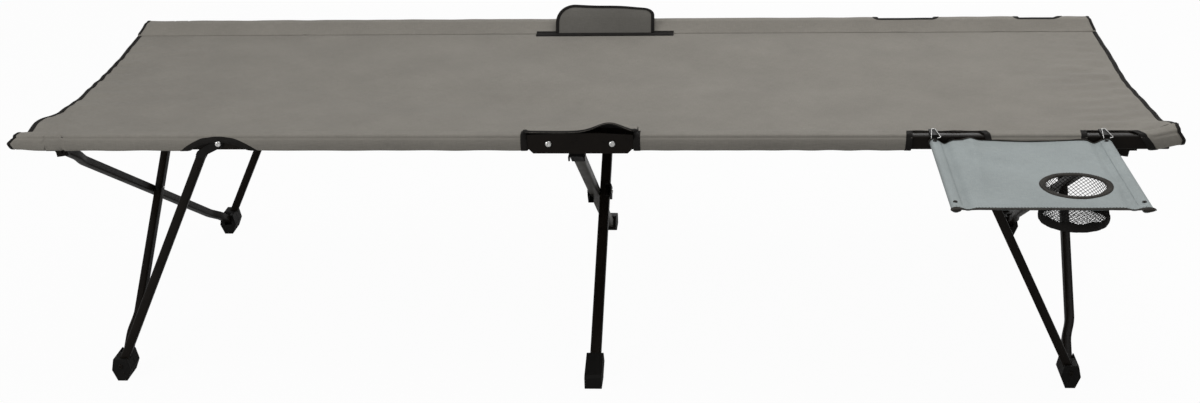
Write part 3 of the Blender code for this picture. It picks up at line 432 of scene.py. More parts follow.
def grid_faces(rows, columns, wrap_rows=False, wrap_columns=False, first=0):
    """Quads between neighbours of a grid whose points are numbered row by row."""
    index = np.arange(rows * columns).reshape(rows, columns) + first
    if wrap_rows:
        index = np.vstack([index, index[:1]])
    if wrap_columns:
        index = np.hstack([index, index[:, :1]])
    corners = [index[:-1, :-1], index[1:, :-1], index[1:, 1:], index[:-1, 1:]]
    return np.stack(corners, axis=-1).reshape(-1, 4)


def make_mesh(name, points, faces, uv=None):
    """Mesh of points and quads, with the UV of each point where it is given."""
    mesh = bpy.data.meshes.new(name)
    points = np.ascontiguousarray(points.reshape(-1, 3), dtype=np.float32)
    faces = np.ascontiguousarray(faces, dtype=np.int32)
    mesh.vertices.add(len(points))
    mesh.vertices.foreach_set("co", points.ravel())
    mesh.loops.add(faces.size)
    mesh.loops.foreach_set("vertex_index", faces.ravel())
    mesh.polygons.add(len(faces))
    mesh.polygons.foreach_set("loop_start", np.arange(0, faces.size, faces.shape[1], dtype=np.int32))
    mesh.update(calc_edges=True)
    layer = mesh.uv_layers.new(name="UVMap")
    if uv is not None:
        flat = uv.reshape(-1, 2)[faces.ravel()].astype(np.float32)
        layer.data.foreach_set("uv", flat.ravel())
    mesh.shade_smooth()
    return mesh


def surface(name, points, uv=None, wrap_rows=False, wrap_columns=False):
    """Object of a grid of points."""
    rows, columns = points.shape[:2]
    faces = grid_faces(rows, columns, wrap_rows, wrap_columns)
    return new_object(name, make_mesh(name, points, faces, uv))


def new_object(name, mesh):
    """Link an object of a mesh."""
    obj = bpy.data.objects.new(name, mesh)
    bpy.context.scene.collection.objects.link(obj)
    return obj


def edit(obj, work):
    """Run a bmesh function on an object's mesh."""
    bm = bmesh.new()
    bm.from_mesh(obj.data)
    work(bm)
    bm.to_mesh(obj.data)
    bm.free()
    obj.data.update()


def close_and_turn_out(obj):
    """Merge doubles, close open ends with faces and point all faces outwards."""

    def work(bm):
        bmesh.ops.remove_doubles(bm, verts=bm.verts, dist=MERGE)
        bmesh.ops.holes_fill(bm, edges=[e for e in bm.edges if e.is_boundary], sides=0)
        bmesh.ops.recalc_face_normals(bm, faces=bm.faces)

    edit(obj, work)


def flip_if(obj, wrong):
    """Turn a surface's faces over where its mapping mirrors them."""
    if wrong:
        edit(obj, lambda bm: bmesh.ops.reverse_faces(bm, faces=bm.faces))


def smooth_by_angle(obj, degrees=40.0):
    """Smooth shading with sharp edges where faces meet at more than the angle."""
    obj.data.shade_smooth()
    obj.data.set_sharp_from_angle(angle=np.radians(degrees))


def thicken(obj, thickness, offset=-1.0, under=0):
    """Live wall of a cloth or plate. `under` is the step to the material of its back."""
    modifier = obj.modifiers.new("wall", "SOLIDIFY")
    modifier.thickness = thickness
    modifier.offset = offset
    modifier.use_even_offset = False
    modifier.material_offset = under
    return modifier


def chamfer(obj, width):
    """Live rounding of the edges that are sharper than the angle, where there is a width."""
    if width:
        modifier = obj.modifiers.new("edges", "BEVEL")
        modifier.width = width
        modifier.segments = EDGE_SEGMENTS
        modifier.limit_method = "ANGLE"
        modifier.angle_limit = np.radians(EDGE_ANGLE)
        modifier.harden_normals = False


def dress(obj, body, materials, replaces=()):
    """Give a piece its materials, its body and the nodes that it stands for."""
    for material in materials if isinstance(materials, (list, tuple)) else [materials]:
        obj.data.materials.append(material)
    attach(obj, body)
    if replaces:
        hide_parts(*replaces)
    return obj


def solid(name, grid, body, material, edge=0.0, degrees=40.0, replaces=()):
    """Closed piece of a grid whose columns meet, with closed ends, faces outwards and rounded edges."""
    obj = surface(name, grid, wrap_columns=True)
    close_and_turn_out(obj)
    chamfer(obj, edge)
    smooth_by_angle(obj, degrees)
    return dress(obj, body, material, replaces)


def tape(name, points, uv, body, wall, turned, material=None):
    """Webbing on a grid of points, with its wall on the outside and black unless another is named."""
    obj = surface(name, points, uv)
    flip_if(obj, turned)
    thicken(obj, wall, 1.0)
    return dress(obj, body, material or BINDING)


def joined(name, grids):
    """Object of several grids at once, each with rows that go round."""
    points, faces, first = [], [], 0
    for grid in grids:
        rows, columns = grid.shape[:2]
        points.append(grid.reshape(-1, 3))
        faces.append(grid_faces(rows, columns, True, False, first))
        first += rows * columns
    return new_object(name, make_mesh(name, np.concatenate(points), np.concatenate(faces)))


def sweep(path, section, side):
    """Section of (a, b) points carried along a path: a runs along `side`, b across it and the path."""
    along = unit(np.gradient(path, axis=0))
    across = unit(np.cross(along, np.cross(side, along)))
    third = np.cross(along, across)
    return path[:, None] + section[None, :, :1] * across[:, None] + section[None, :, 1:] * third[:, None]


def rounded_square(half, corner):
    """Points of a square with rounded corners."""
    quarter = np.linspace(0, np.pi / 2, 5)
    points = []
    for number, signs in enumerate(((1, 1), (-1, 1), (-1, -1), (1, -1))):
        angle = quarter + number * np.pi / 2
        points.append((half - corner) * np.array(signs) + corner * stacked(np.cos(angle), np.sin(angle)))
    return np.concatenate(points)


def stitches(name, places, along, normal):
    """Small lozenge stitches: each is six points about its place, lying along the seam."""
    along = unit(along)
    normal = unit(normal)
    across = np.cross(normal, along)
    shape = [[-0.5, 0, 0], [0, 0.5, 0], [0.5, 0, 0], [0, -0.5, 0], [0, 0, 0.6], [0, 0, -0.6]]
    over = [[0, 3, 4], [3, 2, 4], [2, 1, 4], [1, 0, 4]]
    under = [[3, 0, 5], [2, 3, 5], [1, 2, 5], [0, 1, 5]]
    axes = np.stack([along, across, normal], axis=1)
    points = places[:, None] + np.einsum("kc,ncd->nkd", np.array(shape) * STITCH, axes)
    index = (np.array(over + under)[None] + 6 * np.arange(len(places))[:, None, None]).reshape(-1, 3)
    return new_object(name, make_mesh(name, points, index))


# Materials


def add_node(tree, kind, inputs=None, **settings):
    """Shader node with its settings and its inputs, which are values or other nodes' outputs."""
    node = tree.nodes.new(kind)
    for key, value in settings.items():
        setattr(node, key, value)
    for key, value in (inputs or {}).items():
        if isinstance(value, bpy.types.NodeSocket):
            tree.links.new(value, node.inputs[key])
        else:
            node.inputs[key].default_value = value
    return node


def start_material(name, **values):
    """Principled material with its constant values on its own sockets, named with _ for spaces."""
    material = bpy.data.materials.new(name)
    material.use_nodes = True
    shader = material.node_tree.nodes["Principled BSDF"]
    for key, value in values.items():
        shader.inputs[key.replace("_", " ")].default_value = value
    return material, material.node_tree, shader


def finish(tree, shader, colour, factors, height, strength, distance):
    """Link the colour times its factors, and a height as bump, to the shader."""
    tree.links.new(tinted(tree, colour, factors), shader.inputs["Base Color"])
    bump = add_node(tree, "ShaderNodeBump", {"Height": height, "Strength": strength, "Distance": distance})
    tree.links.new(bump.outputs[0], shader.inputs["Normal"])


def noise(tree, vector, scale, detail=3.0, roughness=0.5):
    """Output of a noise texture."""
    values = {"Vector": vector, "Scale": scale, "Detail": detail, "Roughness": roughness}
    return add_node(tree, "ShaderNodeTexNoise", values).outputs["Fac"]


def drawn_noise(tree, vector, scale, detail, roughness=0.5):
    """Noise that is drawn out by its own scale along each axis."""
    mapping = add_node(tree, "ShaderNodeMapping", {"Vector": vector, "Scale": scale})
    return noise(tree, mapping.outputs[0], 1.0, detail, roughness)


def ranged(tree, value, low, high, start=0.0, end=1.0):
    """A value carried from one range to another."""
    inputs = {"Value": value, "From Min": start, "From Max": end, "To Min": low, "To Max": high}
    return add_node(tree, "ShaderNodeMapRange", inputs).outputs["Result"]


def maths(tree, operation, first, second=0.0):
    """Output of a math node."""
    return add_node(tree, "ShaderNodeMath", {0: first, 1: second}, operation=operation).outputs[0]


def ribs(tree, value, count):
    """Sine of a place in metres with a count of turns in each metre."""
    return maths(tree, "SINE", maths(tree, "MULTIPLY", value, 2 * np.pi * count))


def tinted(tree, colour, factors):
    """A colour times several factors."""
    result = (*colour, 1.0)
    for factor in factors:
        grey = add_node(tree, "ShaderNodeCombineColor", {"Red": factor, "Green": factor, "Blue": factor})
        node = add_node(tree, "ShaderNodeMix", data_type="RGBA", blend_type="MULTIPLY")
        node.inputs["Factor"].default_value = 1.0
        if isinstance(result, tuple):
            node.inputs["A"].default_value = result
        else:
            tree.links.new(result, node.inputs["A"])
        tree.links.new(grey.outputs[0], node.inputs["B"])
        result = node.outputs["Result"]
    return result


def cloth_material(name, colour, roughness=0.86):
    """Plain-woven cloth on the piece's UV in metres: over-and-under weave, slubs and faint mottling."""
    sheen = {"Sheen_Weight": 0.04, "Sheen_Roughness": 0.5}
    material, tree, shader = start_material(name, Roughness=roughness, Specular_IOR_Level=0.2, **sheen)
    uv = add_node(tree, "ShaderNodeTexCoord").outputs["UV"]
    parts = add_node(tree, "ShaderNodeSeparateXYZ", {0: uv})
    warp, weft = (ribs(tree, parts.outputs[axis], CLOTH_THREADS) for axis in (0, 1))
    weave = maths(tree, "MULTIPLY", warp, weft)
    slub = drawn_noise(tree, uv, (60.0, 900.0, 1.0), 2.0)
    slub_across = drawn_noise(tree, uv, (900.0, 60.0, 1.0), 2.0)
    mottle = noise(tree, uv, 7.0, 4.0, 0.6)
    factors = (
        ranged(tree, weave, 0.93, 1.05, -1.0, 1.0),
        ranged(tree, slub, 0.93, 1.07, 0.3, 0.7),
        ranged(tree, slub_across, 0.95, 1.05, 0.3, 0.7),
        ranged(tree, mottle, 0.93, 1.07, 0.3, 0.7),
    )
    height = maths(tree, "ADD", weave, maths(tree, "MULTIPLY", slub, 2.0))
    finish(tree, shader, colour, factors, height, 0.35, 0.00012)
    return material


def webbing_material(name, colour):
    """Ribbed tape on the piece's UV in metres: fine ribs along its width and a little dust."""
    material, tree, shader = start_material(name, Roughness=0.85, Specular_IOR_Level=0.2)
    uv = add_node(tree, "ShaderNodeTexCoord").outputs["UV"]
    parts = add_node(tree, "ShaderNodeSeparateXYZ", {0: uv})
    rib = ribs(tree, parts.outputs[0], 900)
    edge = ribs(tree, parts.outputs[1], 450)
    dust = noise(tree, uv, 60.0, 3.0)
    factors = (ranged(tree, rib, 0.8, 1.2, -1.0, 1.0), ranged(tree, dust, 0.75, 1.3, 0.3, 0.7))
    height = maths(tree, "ADD", rib, maths(tree, "MULTIPLY", edge, 0.5))
    finish(tree, shader, colour, factors, height, 0.5, 0.0002)
    return material


def paint_material(name, colour, roughness=0.30, shine=0.08):
    """Powder-coated tube: orange peel in the bump, uneven gloss and sparse fine scuffs."""
    coat = {"Coat_Weight": 0.02, "Coat_Roughness": 0.12}
    material, tree, shader = start_material(name, Roughness=roughness, Specular_IOR_Level=shine, **coat)
    place = add_node(tree, "ShaderNodeTexCoord").outputs["Object"]
    cloud = noise(tree, place, 22.0, 4.0, 0.6)
    streak = drawn_noise(tree, place, (30.0, 30.0, 400.0), 4.0, 0.7)
    factors = (ranged(tree, cloud, 0.8, 1.25, 0.3, 0.7), ranged(tree, streak, 1.0, 1.9, 0.66, 0.80))
    gloss = ranged(tree, cloud, roughness - 0.07, roughness + 0.10, 0.3, 0.7)
    tree.links.new(gloss, shader.inputs["Roughness"])
    finish(tree, shader, colour, factors, noise(tree, place, 900.0, 2.0), 0.18, 0.0003)
    return material


def plastic_material(name, colour, roughness=0.48):
    """Moulded plastic: spark-eroded grain and faint flow marks."""
    material, tree, shader = start_material(name, Roughness=roughness, Specular_IOR_Level=0.12)
    place = add_node(tree, "ShaderNodeTexCoord").outputs["Object"]
    flow = noise(tree, place, 35.0, 3.0)
    tree.links.new(ranged(tree, flow, roughness - 0.05, roughness + 0.08), shader.inputs["Roughness"])
    factors = (ranged(tree, flow, 0.85, 1.2, 0.3, 0.7),)
    finish(tree, shader, colour, factors, noise(tree, place, 1500.0, 2.0), 0.3, 0.0002)
    return material


def steel_material(name, colour, roughness):
    """Zinc-plated steel: fine turning marks, small dents and cloudy gloss."""
    material, tree, shader = start_material(name, Roughness=roughness, Metallic=1.0)
    place = add_node(tree, "ShaderNodeTexCoord").outputs["Object"]
    cloud = noise(tree, place, 300.0, 3.0)
    tree.links.new(ranged(tree, cloud, roughness - 0.08, roughness + 0.12), shader.inputs["Roughness"])
    factors = (ranged(tree, cloud, 0.85, 1.1, 0.3, 0.7),)
    finish(tree, shader, colour, factors, noise(tree, place, 2500.0, 2.0), 0.15, 0.0002)
    return material


CLOTH_THREADS = 850.0
BED_CLOTH = cloth_material("grey_bed_cloth", (0.223, 0.209, 0.184))
FLAP_CLOTH = cloth_material("dark_grey_flap_cloth", (0.130, 0.124, 0.112))
TABLE_CLOTH = cloth_material("cool_grey_table_cloth", (0.305, 0.337, 0.337))
# Black on the flaps' backs is painted shade: it stands in for the shadow on the near flap's underside, which
# faces the view
FLAP_BACK_SHADE = cloth_material("black_cloth_backing", (0.012, 0.011, 0.010), 0.7)
BINDING = webbing_material("black_webbing", (0.010, 0.0088, 0.0078))
TRIM = webbing_material("dark_grey_webbing", (0.034, 0.031, 0.027))
THREAD = webbing_material("grey_thread", (0.19, 0.178, 0.157))
TABLE_THREAD = webbing_material("cool_grey_thread", (0.20, 0.22, 0.22))
PAINT = paint_material("black_powder_coat", (0.0095, 0.0075, 0.0060))
# Lighter, glossier copy of the black coat for the near mid leg's tube: its grey is painted light, standing
# in for the light on that leg's upper face
MID_LEG_PAINTED_LIGHT = paint_material("dark_grey_satin_coat", (0.060, 0.055, 0.048), 0.34, 0.30)
PLASTIC = plastic_material("black_moulded_plastic", (0.0075, 0.0070, 0.0065))
STEEL = steel_material("bright_zinc_steel", (0.82, 0.82, 0.80), 0.28)
MESH_CORD = plastic_material("black_mesh_cord", (0.010, 0.010, 0.010), 0.7)


# The roll: section table of the sleeve, from the bottom outwards, over the top and down inside


def roll_table():
    """Distances along the section with its out and up offsets and outward normals.

    A superellipse of the roll's half width, fuller on its outer face and with a groove at the outer top
    corner, and two nearly straight sheets from its tangent points to the tail, where they meet the bed.
    """
    angle = np.linspace(-np.pi / 2, 3 * np.pi / 2, ROLL_STEPS + 1)
    power = ROLL_SQUARENESS
    radius = ROLL_HALF / (np.abs(np.cos(angle)) ** power + np.abs(np.sin(angle)) ** power) ** (1 / power)
    radius = radius - GROOVE_DEPTH * np.exp(-(((angle - GROOVE_ANGLE) / GROOVE_WIDTH) ** 2))
    ring = radius[:, None] * stacked(np.cos(angle), np.sin(angle))
    full = 1 + ROLL_BULGE * np.exp(-((ring[:, 1] / BULGE_HALF) ** 2))
    ring[:, 0] = np.where(ring[:, 0] > 0, ring[:, 0] * full, ring[:, 0])
    tail = np.array([-ROLL_TAIL, -BED_DROP])
    slope = np.arctan2(ring[:, 1] - tail[1], ring[:, 0] - tail[0])
    over, under = int(np.argmax(slope)), int(np.argmin(slope))
    share = np.linspace(0, 1, TAIL_STEPS)[1:, None]
    sag = TAIL_SAG * np.sin(np.pi * share) * [0.0, 1.0]
    upper = ring[over] + (tail - ring[over]) * share - sag
    lower = tail + (ring[under] - tail) * share + sag
    curve = evenly(np.concatenate([ring[: over + 1], upper, lower, ring[under + 1 :]]), SECTION_STEP)
    curve = smoothed(curve, 5)
    out, up = curve.T
    return running_length(curve), out, up, unit(stacked(np.gradient(up), -np.gradient(out)))


ROLL_RUN, ROLL_OUT, ROLL_UP, ROLL_NORMAL = roll_table()
ROLL_LENGTH = ROLL_RUN[-1]
ROLL_TOP = ROLL_RUN[np.argmax(ROLL_UP)]
TAIL_RUN = ROLL_RUN[np.argmin(ROLL_OUT)]


def run_outside(up):
    """Distance along the section to a height on the outer side."""
    rising = (ROLL_OUT > 0) & (ROLL_RUN < ROLL_TOP)
    return float(np.interp(up, ROLL_UP[rising], ROLL_RUN[rising]))


def run_on_top(inward):
    """Distance along the section to a place on the top, measured inwards from the rail's middle."""
    over = ROLL_UP > ROLL_HALF / 2
    return float(np.interp(inward, -ROLL_OUT[over], ROLL_RUN[over]))


def low_edge(x, end, side):
    """Lower edge of the sleeve's cloth along its section: arch at the leg, slot at the lug, hook cuts."""
    share = np.clip(np.abs(x - KNEE_X) / ARCH_HALF, 0, 1)
    edge = run_outside(ARCH_UP) * (1 - share ** 2) ** ARCH_POWER
    edge = np.maximum(edge, LUG_CUT_LOW * lug_slot(x))
    if end == "right":
        for start, stop, fall in HOOK_CUTS:
            cut = bump_between(x, start, stop, HOOK_CUT_RISE, fall)
            edge = np.maximum(edge, run_on_top(HOOK_CUT_INNER[side]) * cut)
    return edge


def high_edge(x):
    """Other edge of the sleeve's cloth, on the sheet under the tail: arch at the leg and slot at the lug."""
    share = np.clip(np.abs(x - KNEE_X) / INNER_ARCH_HALF, 0, 1)
    arch = np.sqrt(1 - share ** 2.6)
    return ROLL_LENGTH - (ROLL_LENGTH - TAIL_RUN - SEAM_WIDTH) * np.maximum(arch, lug_slot(x))


def bump_between(x, start, stop, rise, fall):
    """1 between two places, with a ramp inside each."""
    return smooth_step((x - start) / rise) * smooth_step((stop - x) / fall)


def lug_slot(x):
    """Share of the slot for the yoke's lug: 1 at the lug, 0 beside it."""
    return bump_between(x, LUG_X - LUG_CUT_HALF, LUG_X + LUG_CUT_HALF, LUG_CUT_RAMP, LUG_CUT_RAMP)


def round_the_roll(run, values):
    """Values at the bottom, outer side, outer top corner, top and tail, joined by smoothed lines."""
    marks = [0.0, run_outside(0.0), run_outside(CORNER_UP), ROLL_TOP, TAIL_RUN, ROLL_LENGTH]
    table = np.interp(ROLL_RUN, marks, [*values, values[0]])
    return np.interp(run, ROLL_RUN, smoothed(table, CORNER_SMOOTHING))


def roll_place(x, run, end, side, lift=0.0):
    """Point of the sleeve's cloth, or of what lies on it by `lift`.

    The section table gives its offsets, faint waves swell it, it flares a little past the rail's end, and
    near its own end it is drawn back and raised by the values for the places round the roll.
    """
    x, run = np.broadcast_arrays(np.asarray(x, float), np.asarray(run, float))
    wrapped = np.mod(run, ROLL_LENGTH)
    tables = (ROLL_OUT, ROLL_UP, *ROLL_NORMAL.T)
    out, up, normal_out, normal_up = (np.interp(wrapped, ROLL_RUN, table) for table in tables)
    raised = round_the_roll(wrapped, ROLL_RISES[end, side])
    raised = raised * smooth_step((x - FABRIC_END + RISE_LENGTH) / RISE_LENGTH)
    moved = round_the_roll(wrapped, ROLL_ENDS[end, side])
    moved = moved * smooth_step((x - FABRIC_END + DRAWN_LENGTH) / DRAWN_LENGTH)
    seed = 11 + 2 * (end == "right") + (side == "far")
    swell = ROLL_SWELL * waves(x * 9, run * 14, seed, 7, 0.5, 2.2) + lift
    turn = 2 * np.pi * (run - FLARE_TURN) / ROLL_LENGTH
    flare = FLARE * smooth_step((x - RAIL_END + FLARE_INSIDE) / FLARE_LENGTH) * np.sin(2 * turn + 0.6)
    return stacked(
        ENDS[end] * (x + moved),
        RAIL_Y[side] + SIDES[side] * (out + (swell + flare) * normal_out),
        RAIL_Z + up + (swell + flare) * normal_up + raised,
    )


def sleeve_stations(end):
    """Places along the sleeve for its columns, closer where its edges rise."""
    marks = [np.linspace(SLEEVE_START, FABRIC_END, 90)]
    bend = np.sin(np.linspace(-np.pi / 2, np.pi / 2, 41))
    marks += [KNEE_X + ARCH_HALF * bend, KNEE_X + INNER_ARCH_HALF * bend]
    ramps = [(LUG_X - LUG_CUT_HALF, LUG_CUT_RAMP), (LUG_X + LUG_CUT_HALF, -LUG_CUT_RAMP)]
    if end == "right":
        ramps += [(start, HOOK_CUT_RISE) for start, _, _ in HOOK_CUTS]
        ramps += [(stop, -fall) for _, stop, fall in HOOK_CUTS]
    marks += [start + ramp * np.linspace(0, 1, 13) for start, ramp in ramps]
    places = np.unique(np.round(np.concatenate(marks), 5))
    return places[np.concatenate([[True], np.diff(places) > STATION_GAP])]


def edge_strip(curve, width, place, lift):
    """Tape along the edge of a sheet.

    `curve` holds the edge's flat (x, run) points with the cloth on their left. The tape's rows go from just
    past the edge to `width` inside it, at right angles to the edge in the flat sheet, and are placed by
    the sheet's own mapping.
    """
    along = unit(np.gradient(curve, axis=0))
    inside = unit(smoothed(stacked(-along[:, 1], along[:, 0]), 3))
    across = np.linspace(-STRIP_OVER, width, STRIP_ROWS)
    flat = curve[:, None] + across[None, :, None] * inside[:, None]
    rim = np.clip(1 - (across + STRIP_OVER) / STRIP_RIM, 0, 1) ** 2
    uv = stacked(running_length(curve)[:, None], across)
    return place(flat[..., 0], flat[..., 1], lift * (1 - 0.6 * rim)), uv


# The bed


def bed_end(v, end):
    """X of the bed's end edge, without sign, for a share across from -1 at the near rail to 1 at the far.

    Smoothed straight lines between its places, with soft waves that die out at both rails.
    """
    fine = np.linspace(-1, 1, 241)
    table = smoothed(np.interp(fine, np.linspace(-1, 1, len(BED_ENDS[end])), BED_ENDS[end]), 150)
    line = FABRIC_END + np.interp(v, fine, table)
    phase = 1.3 * ENDS[end]
    wave = np.sin(31 * v + 1.4 * np.sin(5 * v) + phase) + 0.6 * np.sin(17 * v - phase)
    return line + END_WAVE * wave * (1 - v ** 4)


def bed_height(x, v, settings):
    """Height of the bed's cloth over its edges.

    Sag, long soft waves, fine lines and short folds that fan from the ends. Near its near corners it rises
    with the rolls, and a shallow slanting dent crosses its far left corner.
    """
    inside = 1 - np.abs(v) ** 6
    soft = SOFT_WAVE * waves(x, v * 0.5, 21, 6, 0.8, 2.4)
    lines = FINE_LINES * waves(x * 0.35, v * 5.0, 22, 6, 0.8, 1.8) * smooth_step((0.55 - v) / 1.2)
    height = (soft + lines) * inside - settings.sag * (1 - v ** 2)
    for end, sign in ENDS.items():
        away = np.maximum(FABRIC_END - sign * x, 0.0)
        reach = FOLD_REACH[0] + FOLD_REACH[1] * np.sin(3.1 * v + sign) ** 2
        fold = np.sin(26 * v + 9 * np.sin(2.3 * v + sign) + 30 * away)
        fold = fold + 0.6 * np.sin(47 * v - 22 * away + 2 * sign)
        fold = fold * (1 - 0.97 * np.exp(-((away / FOLD_START) ** 2)))
        height = height + settings.fold_height * fold * np.exp(-((away / reach) ** 1.5)) * inside
        hump = smooth_step(1 - away / CORNER_LENGTH) * np.exp(-(((v - CORNER_PLACE) / CORNER_HALF) ** 2))
        height = height + CORNER_LIFT[end] * hump
        tail_rise = ROLL_RISES[end, "near"][-1] * smooth_step(1 - away / RISE_LENGTH)
        height = height + tail_rise * smooth_step((-0.72 - v) / 0.28)
    around = np.hypot((x - DENT_X) / DENT_REACH[0], (v - DENT_V) / DENT_REACH[1])
    line = (x - DENT_X + DENT_SLANT * (v - DENT_V)) / DENT_HALF
    return height - DENT_DEPTH * np.exp(-(line ** 2)) * np.exp(-(around ** 2)) * inside


def bed_place(x, v, settings, lift=0.0):
    """Point of the bed's cloth at a nominal x, whose ends are drawn in, and a share v across."""
    x, v = np.broadcast_arrays(np.asarray(x, float), np.asarray(v, float))
    share = np.clip((np.abs(x) - HINGE_X) / (FABRIC_END - HINGE_X), 0, 1.02)
    end_x = np.where(x < 0, bed_end(v, "left"), bed_end(v, "right"))
    actual = HINGE_X + share * (end_x - HINGE_X)
    actual = np.where(np.abs(x) < HINGE_X, x, np.sign(x) * actual)
    height = bed_height(actual, v, settings) + lift
    return stacked(actual, BED_MIDDLE_Y + v * BED_HALF, BED_LEVEL + height)


class CotSettings(bpy.types.PropertyGroup):
    """Sizes and colours that a user would change."""

    sag: bpy.props.FloatProperty(
        name="Bed sag",
        description="How far the bed hangs in its middle",
        default=0.009,
        unit="LENGTH",
    )
    fold_height: bpy.props.FloatProperty(
        name="Fold height",
        description="Height of the short folds at the bed's ends",
        default=0.0024,
        unit="LENGTH",
    )
    binding: bpy.props.FloatProperty(
        name="Binding width",
        description="Width of the black tape on the cloth's edges",
        default=0.0095,
        unit="LENGTH",
    )
    lamp: bpy.props.FloatProperty(
        name="Lamp",
        description="Power of the main soft lamp in watts",
        default=52.0,
    )
    world: bpy.props.FloatProperty(
        name="World",
        description="Strength of the even light all round",
        default=0.36,
    )
    floor: bpy.props.FloatVectorProperty(
        name="Floor",
        description="Colour of the floor",
        subtype="COLOR",
        default=(0.60, 0.60, 0.60),
    )


def folded_share():
    """Width between the folded rails' cloth as a share of the open width.

    The far rail comes to its folded place by the two mid legs' length and the turn of the fold.
    """
    near, cross = MID_PIVOT["near"], MID_CROSS
    half_open = cross[1] - near[1]
    drop = near[2] - cross[2]
    turn = np.radians(JOINTS["fold"]["range_deg"][1])
    half_folded = half_open * np.cos(turn) - drop * np.sin(turn)
    inset = RAIL_SPACING / 2 - half_open
    return (half_folded + inset - ROLL_TAIL + BED_LAP) / BED_HALF


def crumple(obj):
    """Give a piece of the bed its own mesh; the share of the folded width is worked out but not used."""
    max(0.05, folded_share())
    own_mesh(obj)


class COT_OT_bed(bpy.types.Operator):
    """Make the bed's cloth in three parts and its end bindings"""

    bl_idname = "cot.bed"
    bl_label = "Bed cloth"

    def execute(self, context):
        settings = context.scene.cot
        v = np.linspace(-1, 1, BED_ROWS)
        for name, (body, low, high, columns) in BED_PARTS.items():
            share = np.linspace(0, 1, columns)
            if name == "left":
                share = 1 - share[::-1] ** BED_CROWDING
            if name == "right":
                share = share ** BED_CROWDING
            x = (low + (high - low) * share)[:, None]
            points = bed_place(x, v, settings)
            obj = surface(f"bed_cloth_{name}", points, stacked(x, v * BED_HALF))
            thicken(obj, CLOTH).use_rim = False
            dress(obj, body, [BED_CLOTH], [f"bed_{name}"])
            flat_size(points)
            crumple(obj)
        for end in ENDS:
            self.end_binding(end, settings)
        return {"FINISHED"}

    def end_binding(self, end, settings):
        """Tape folded over the bed's end edge: from its upper hem round the edge to its lower hem."""
        v = np.linspace(-0.998, 0.998, 260)[:, None]
        loop = np.linspace(1, -1, 17)
        x = ENDS[end] * (FABRIC_END + TAPE_PAST_EDGE - settings.binding * np.abs(loop))
        lift = TAPE_RISE * np.sign(loop) * np.abs(loop) ** 0.5 - CLOTH / 2
        points = bed_place(x, v, settings, lift)
        uv = stacked(v * BED_HALF, loop * settings.binding)
        crumple(tape(f"bed_end_tape_{end}", points, uv, f"rail_{end}_near", BED_TAPE_WALL, end == "left"))


def masked_surface(name, points, uv, keep):
    """Grid surface without the faces that touch a point to leave out."""
    rows, columns = points.shape[:2]
    faces = grid_faces(rows, columns)
    whole = keep.ravel()[faces].all(axis=1)
    faces = faces[whole]
    used = np.unique(faces)
    renumber = np.zeros(rows * columns, dtype=int)
    renumber[used] = np.arange(len(used))
    mesh = make_mesh(name, points.reshape(-1, 3)[used], renumber[faces], uv.reshape(-1, 2)[used])
    return new_object(name, mesh)


def flat_size(points, pick=np.max):
    """Flat size of a grid: a picked column, by default the longest, and the longest row."""
    down = pick(np.linalg.norm(np.diff(points, axis=0), axis=-1).sum(axis=0))
    along = np.linalg.norm(np.diff(points, axis=1), axis=-1).sum(axis=1).max()
    return float(down), float(along)


class COT_OT_sleeves(bpy.types.Operator):
    """Make the four rolls of cloth on the rails, with their cut-outs, tapes and seams"""

    bl_idname = "cot.sleeves"
    bl_label = "Rail sleeves"

    def execute(self, context):
        settings = context.scene.cot
        for end, side in CORNERS:
            self.sleeve(end, side)
            self.tapes(end, side, settings)
            self.seam(end, side)
        return {"FINISHED"}

    def sleeve(self, end, side):
        """Cloth from its lower edge round the rail to its upper edge, at each place along the rail."""
        x = sleeve_stations(end)[:, None]
        low, high = low_edge(x, end, side), high_edge(x)
        over = low + (TAIL_RUN - low) * np.linspace(0, 1, SLEEVE_ROWS[0])
        under = TAIL_RUN + (high - TAIL_RUN) * np.linspace(0, 1, SLEEVE_ROWS[1])[1:]
        run = np.hstack([over, under])
        points = roll_place(x, run, end, side)
        obj = surface(f"sleeve_cloth_{end}_{side}", points, stacked(x, run))
        flip_if(obj, ENDS[end] * SIDES[side] < 0)
        thicken(obj, CLOTH)
        dress(obj, f"rail_{end}_{side}", BED_CLOTH, [f"sleeve_{end}_{side}"])
        flat = flat_size(points, np.min)

    def tapes(self, end, side, settings):
        """Black tape round the arch, the hook cut-outs and both ends."""
        grids = []

        def place(x, run, lift):
            return roll_place(x, run, end, side, lift)

        spans = [(KNEE_X - ARCH_HALF, KNEE_X + ARCH_HALF)]
        if end == "right":
            first, second = HOOK_CUTS
            spans = [(first[0], max(first[1], KNEE_X + ARCH_HALF)), second[:2]]
        for start, stop in spans:
            x = start + (stop - start) * (1 - np.cos(np.linspace(0, np.pi, 400))) / 2
            curve = evenly(stacked(x, low_edge(x, end, side)), 0.0022)
            grids.append(edge_strip(curve, settings.binding, place, TAPE_LIFT))
        run = np.linspace(0, ROLL_LENGTH, 60)
        for station, turn, width in ((SLEEVE_START, -1, START_TAPE[side]), (FABRIC_END, 1, END_TAPE)):
            grids.append(edge_strip(stacked(station, run)[::turn], width, place, TAPE_LIFT))
        turned = ENDS[end] * SIDES[side] > 0
        for number, (points, uv) in enumerate(grids):
            name = f"sleeve_tape_{end}_{side}_{number}"
            tape(name, points, uv, f"rail_{end}_{side}", TAPE_WALL, turned)

    def seam(self, end, side):
        """Stitched seam along the tail, where the roll meets the bed."""
        x = np.arange(SLEEVE_START + 0.014, FABRIC_END - 0.02, STITCH_STEP)
        run = TAIL_RUN - SEAM_WIDTH
        places = roll_place(x, run, end, side, 0.0002)
        ahead = roll_place(x + 0.001, run, end, side, 0.0002)
        above = roll_place(x, run, end, side, 0.0012)
        obj = stitches(f"sleeve_stitches_{end}_{side}", places, ahead - places, above - places)
        dress(obj, f"rail_{end}_{side}", THREAD)


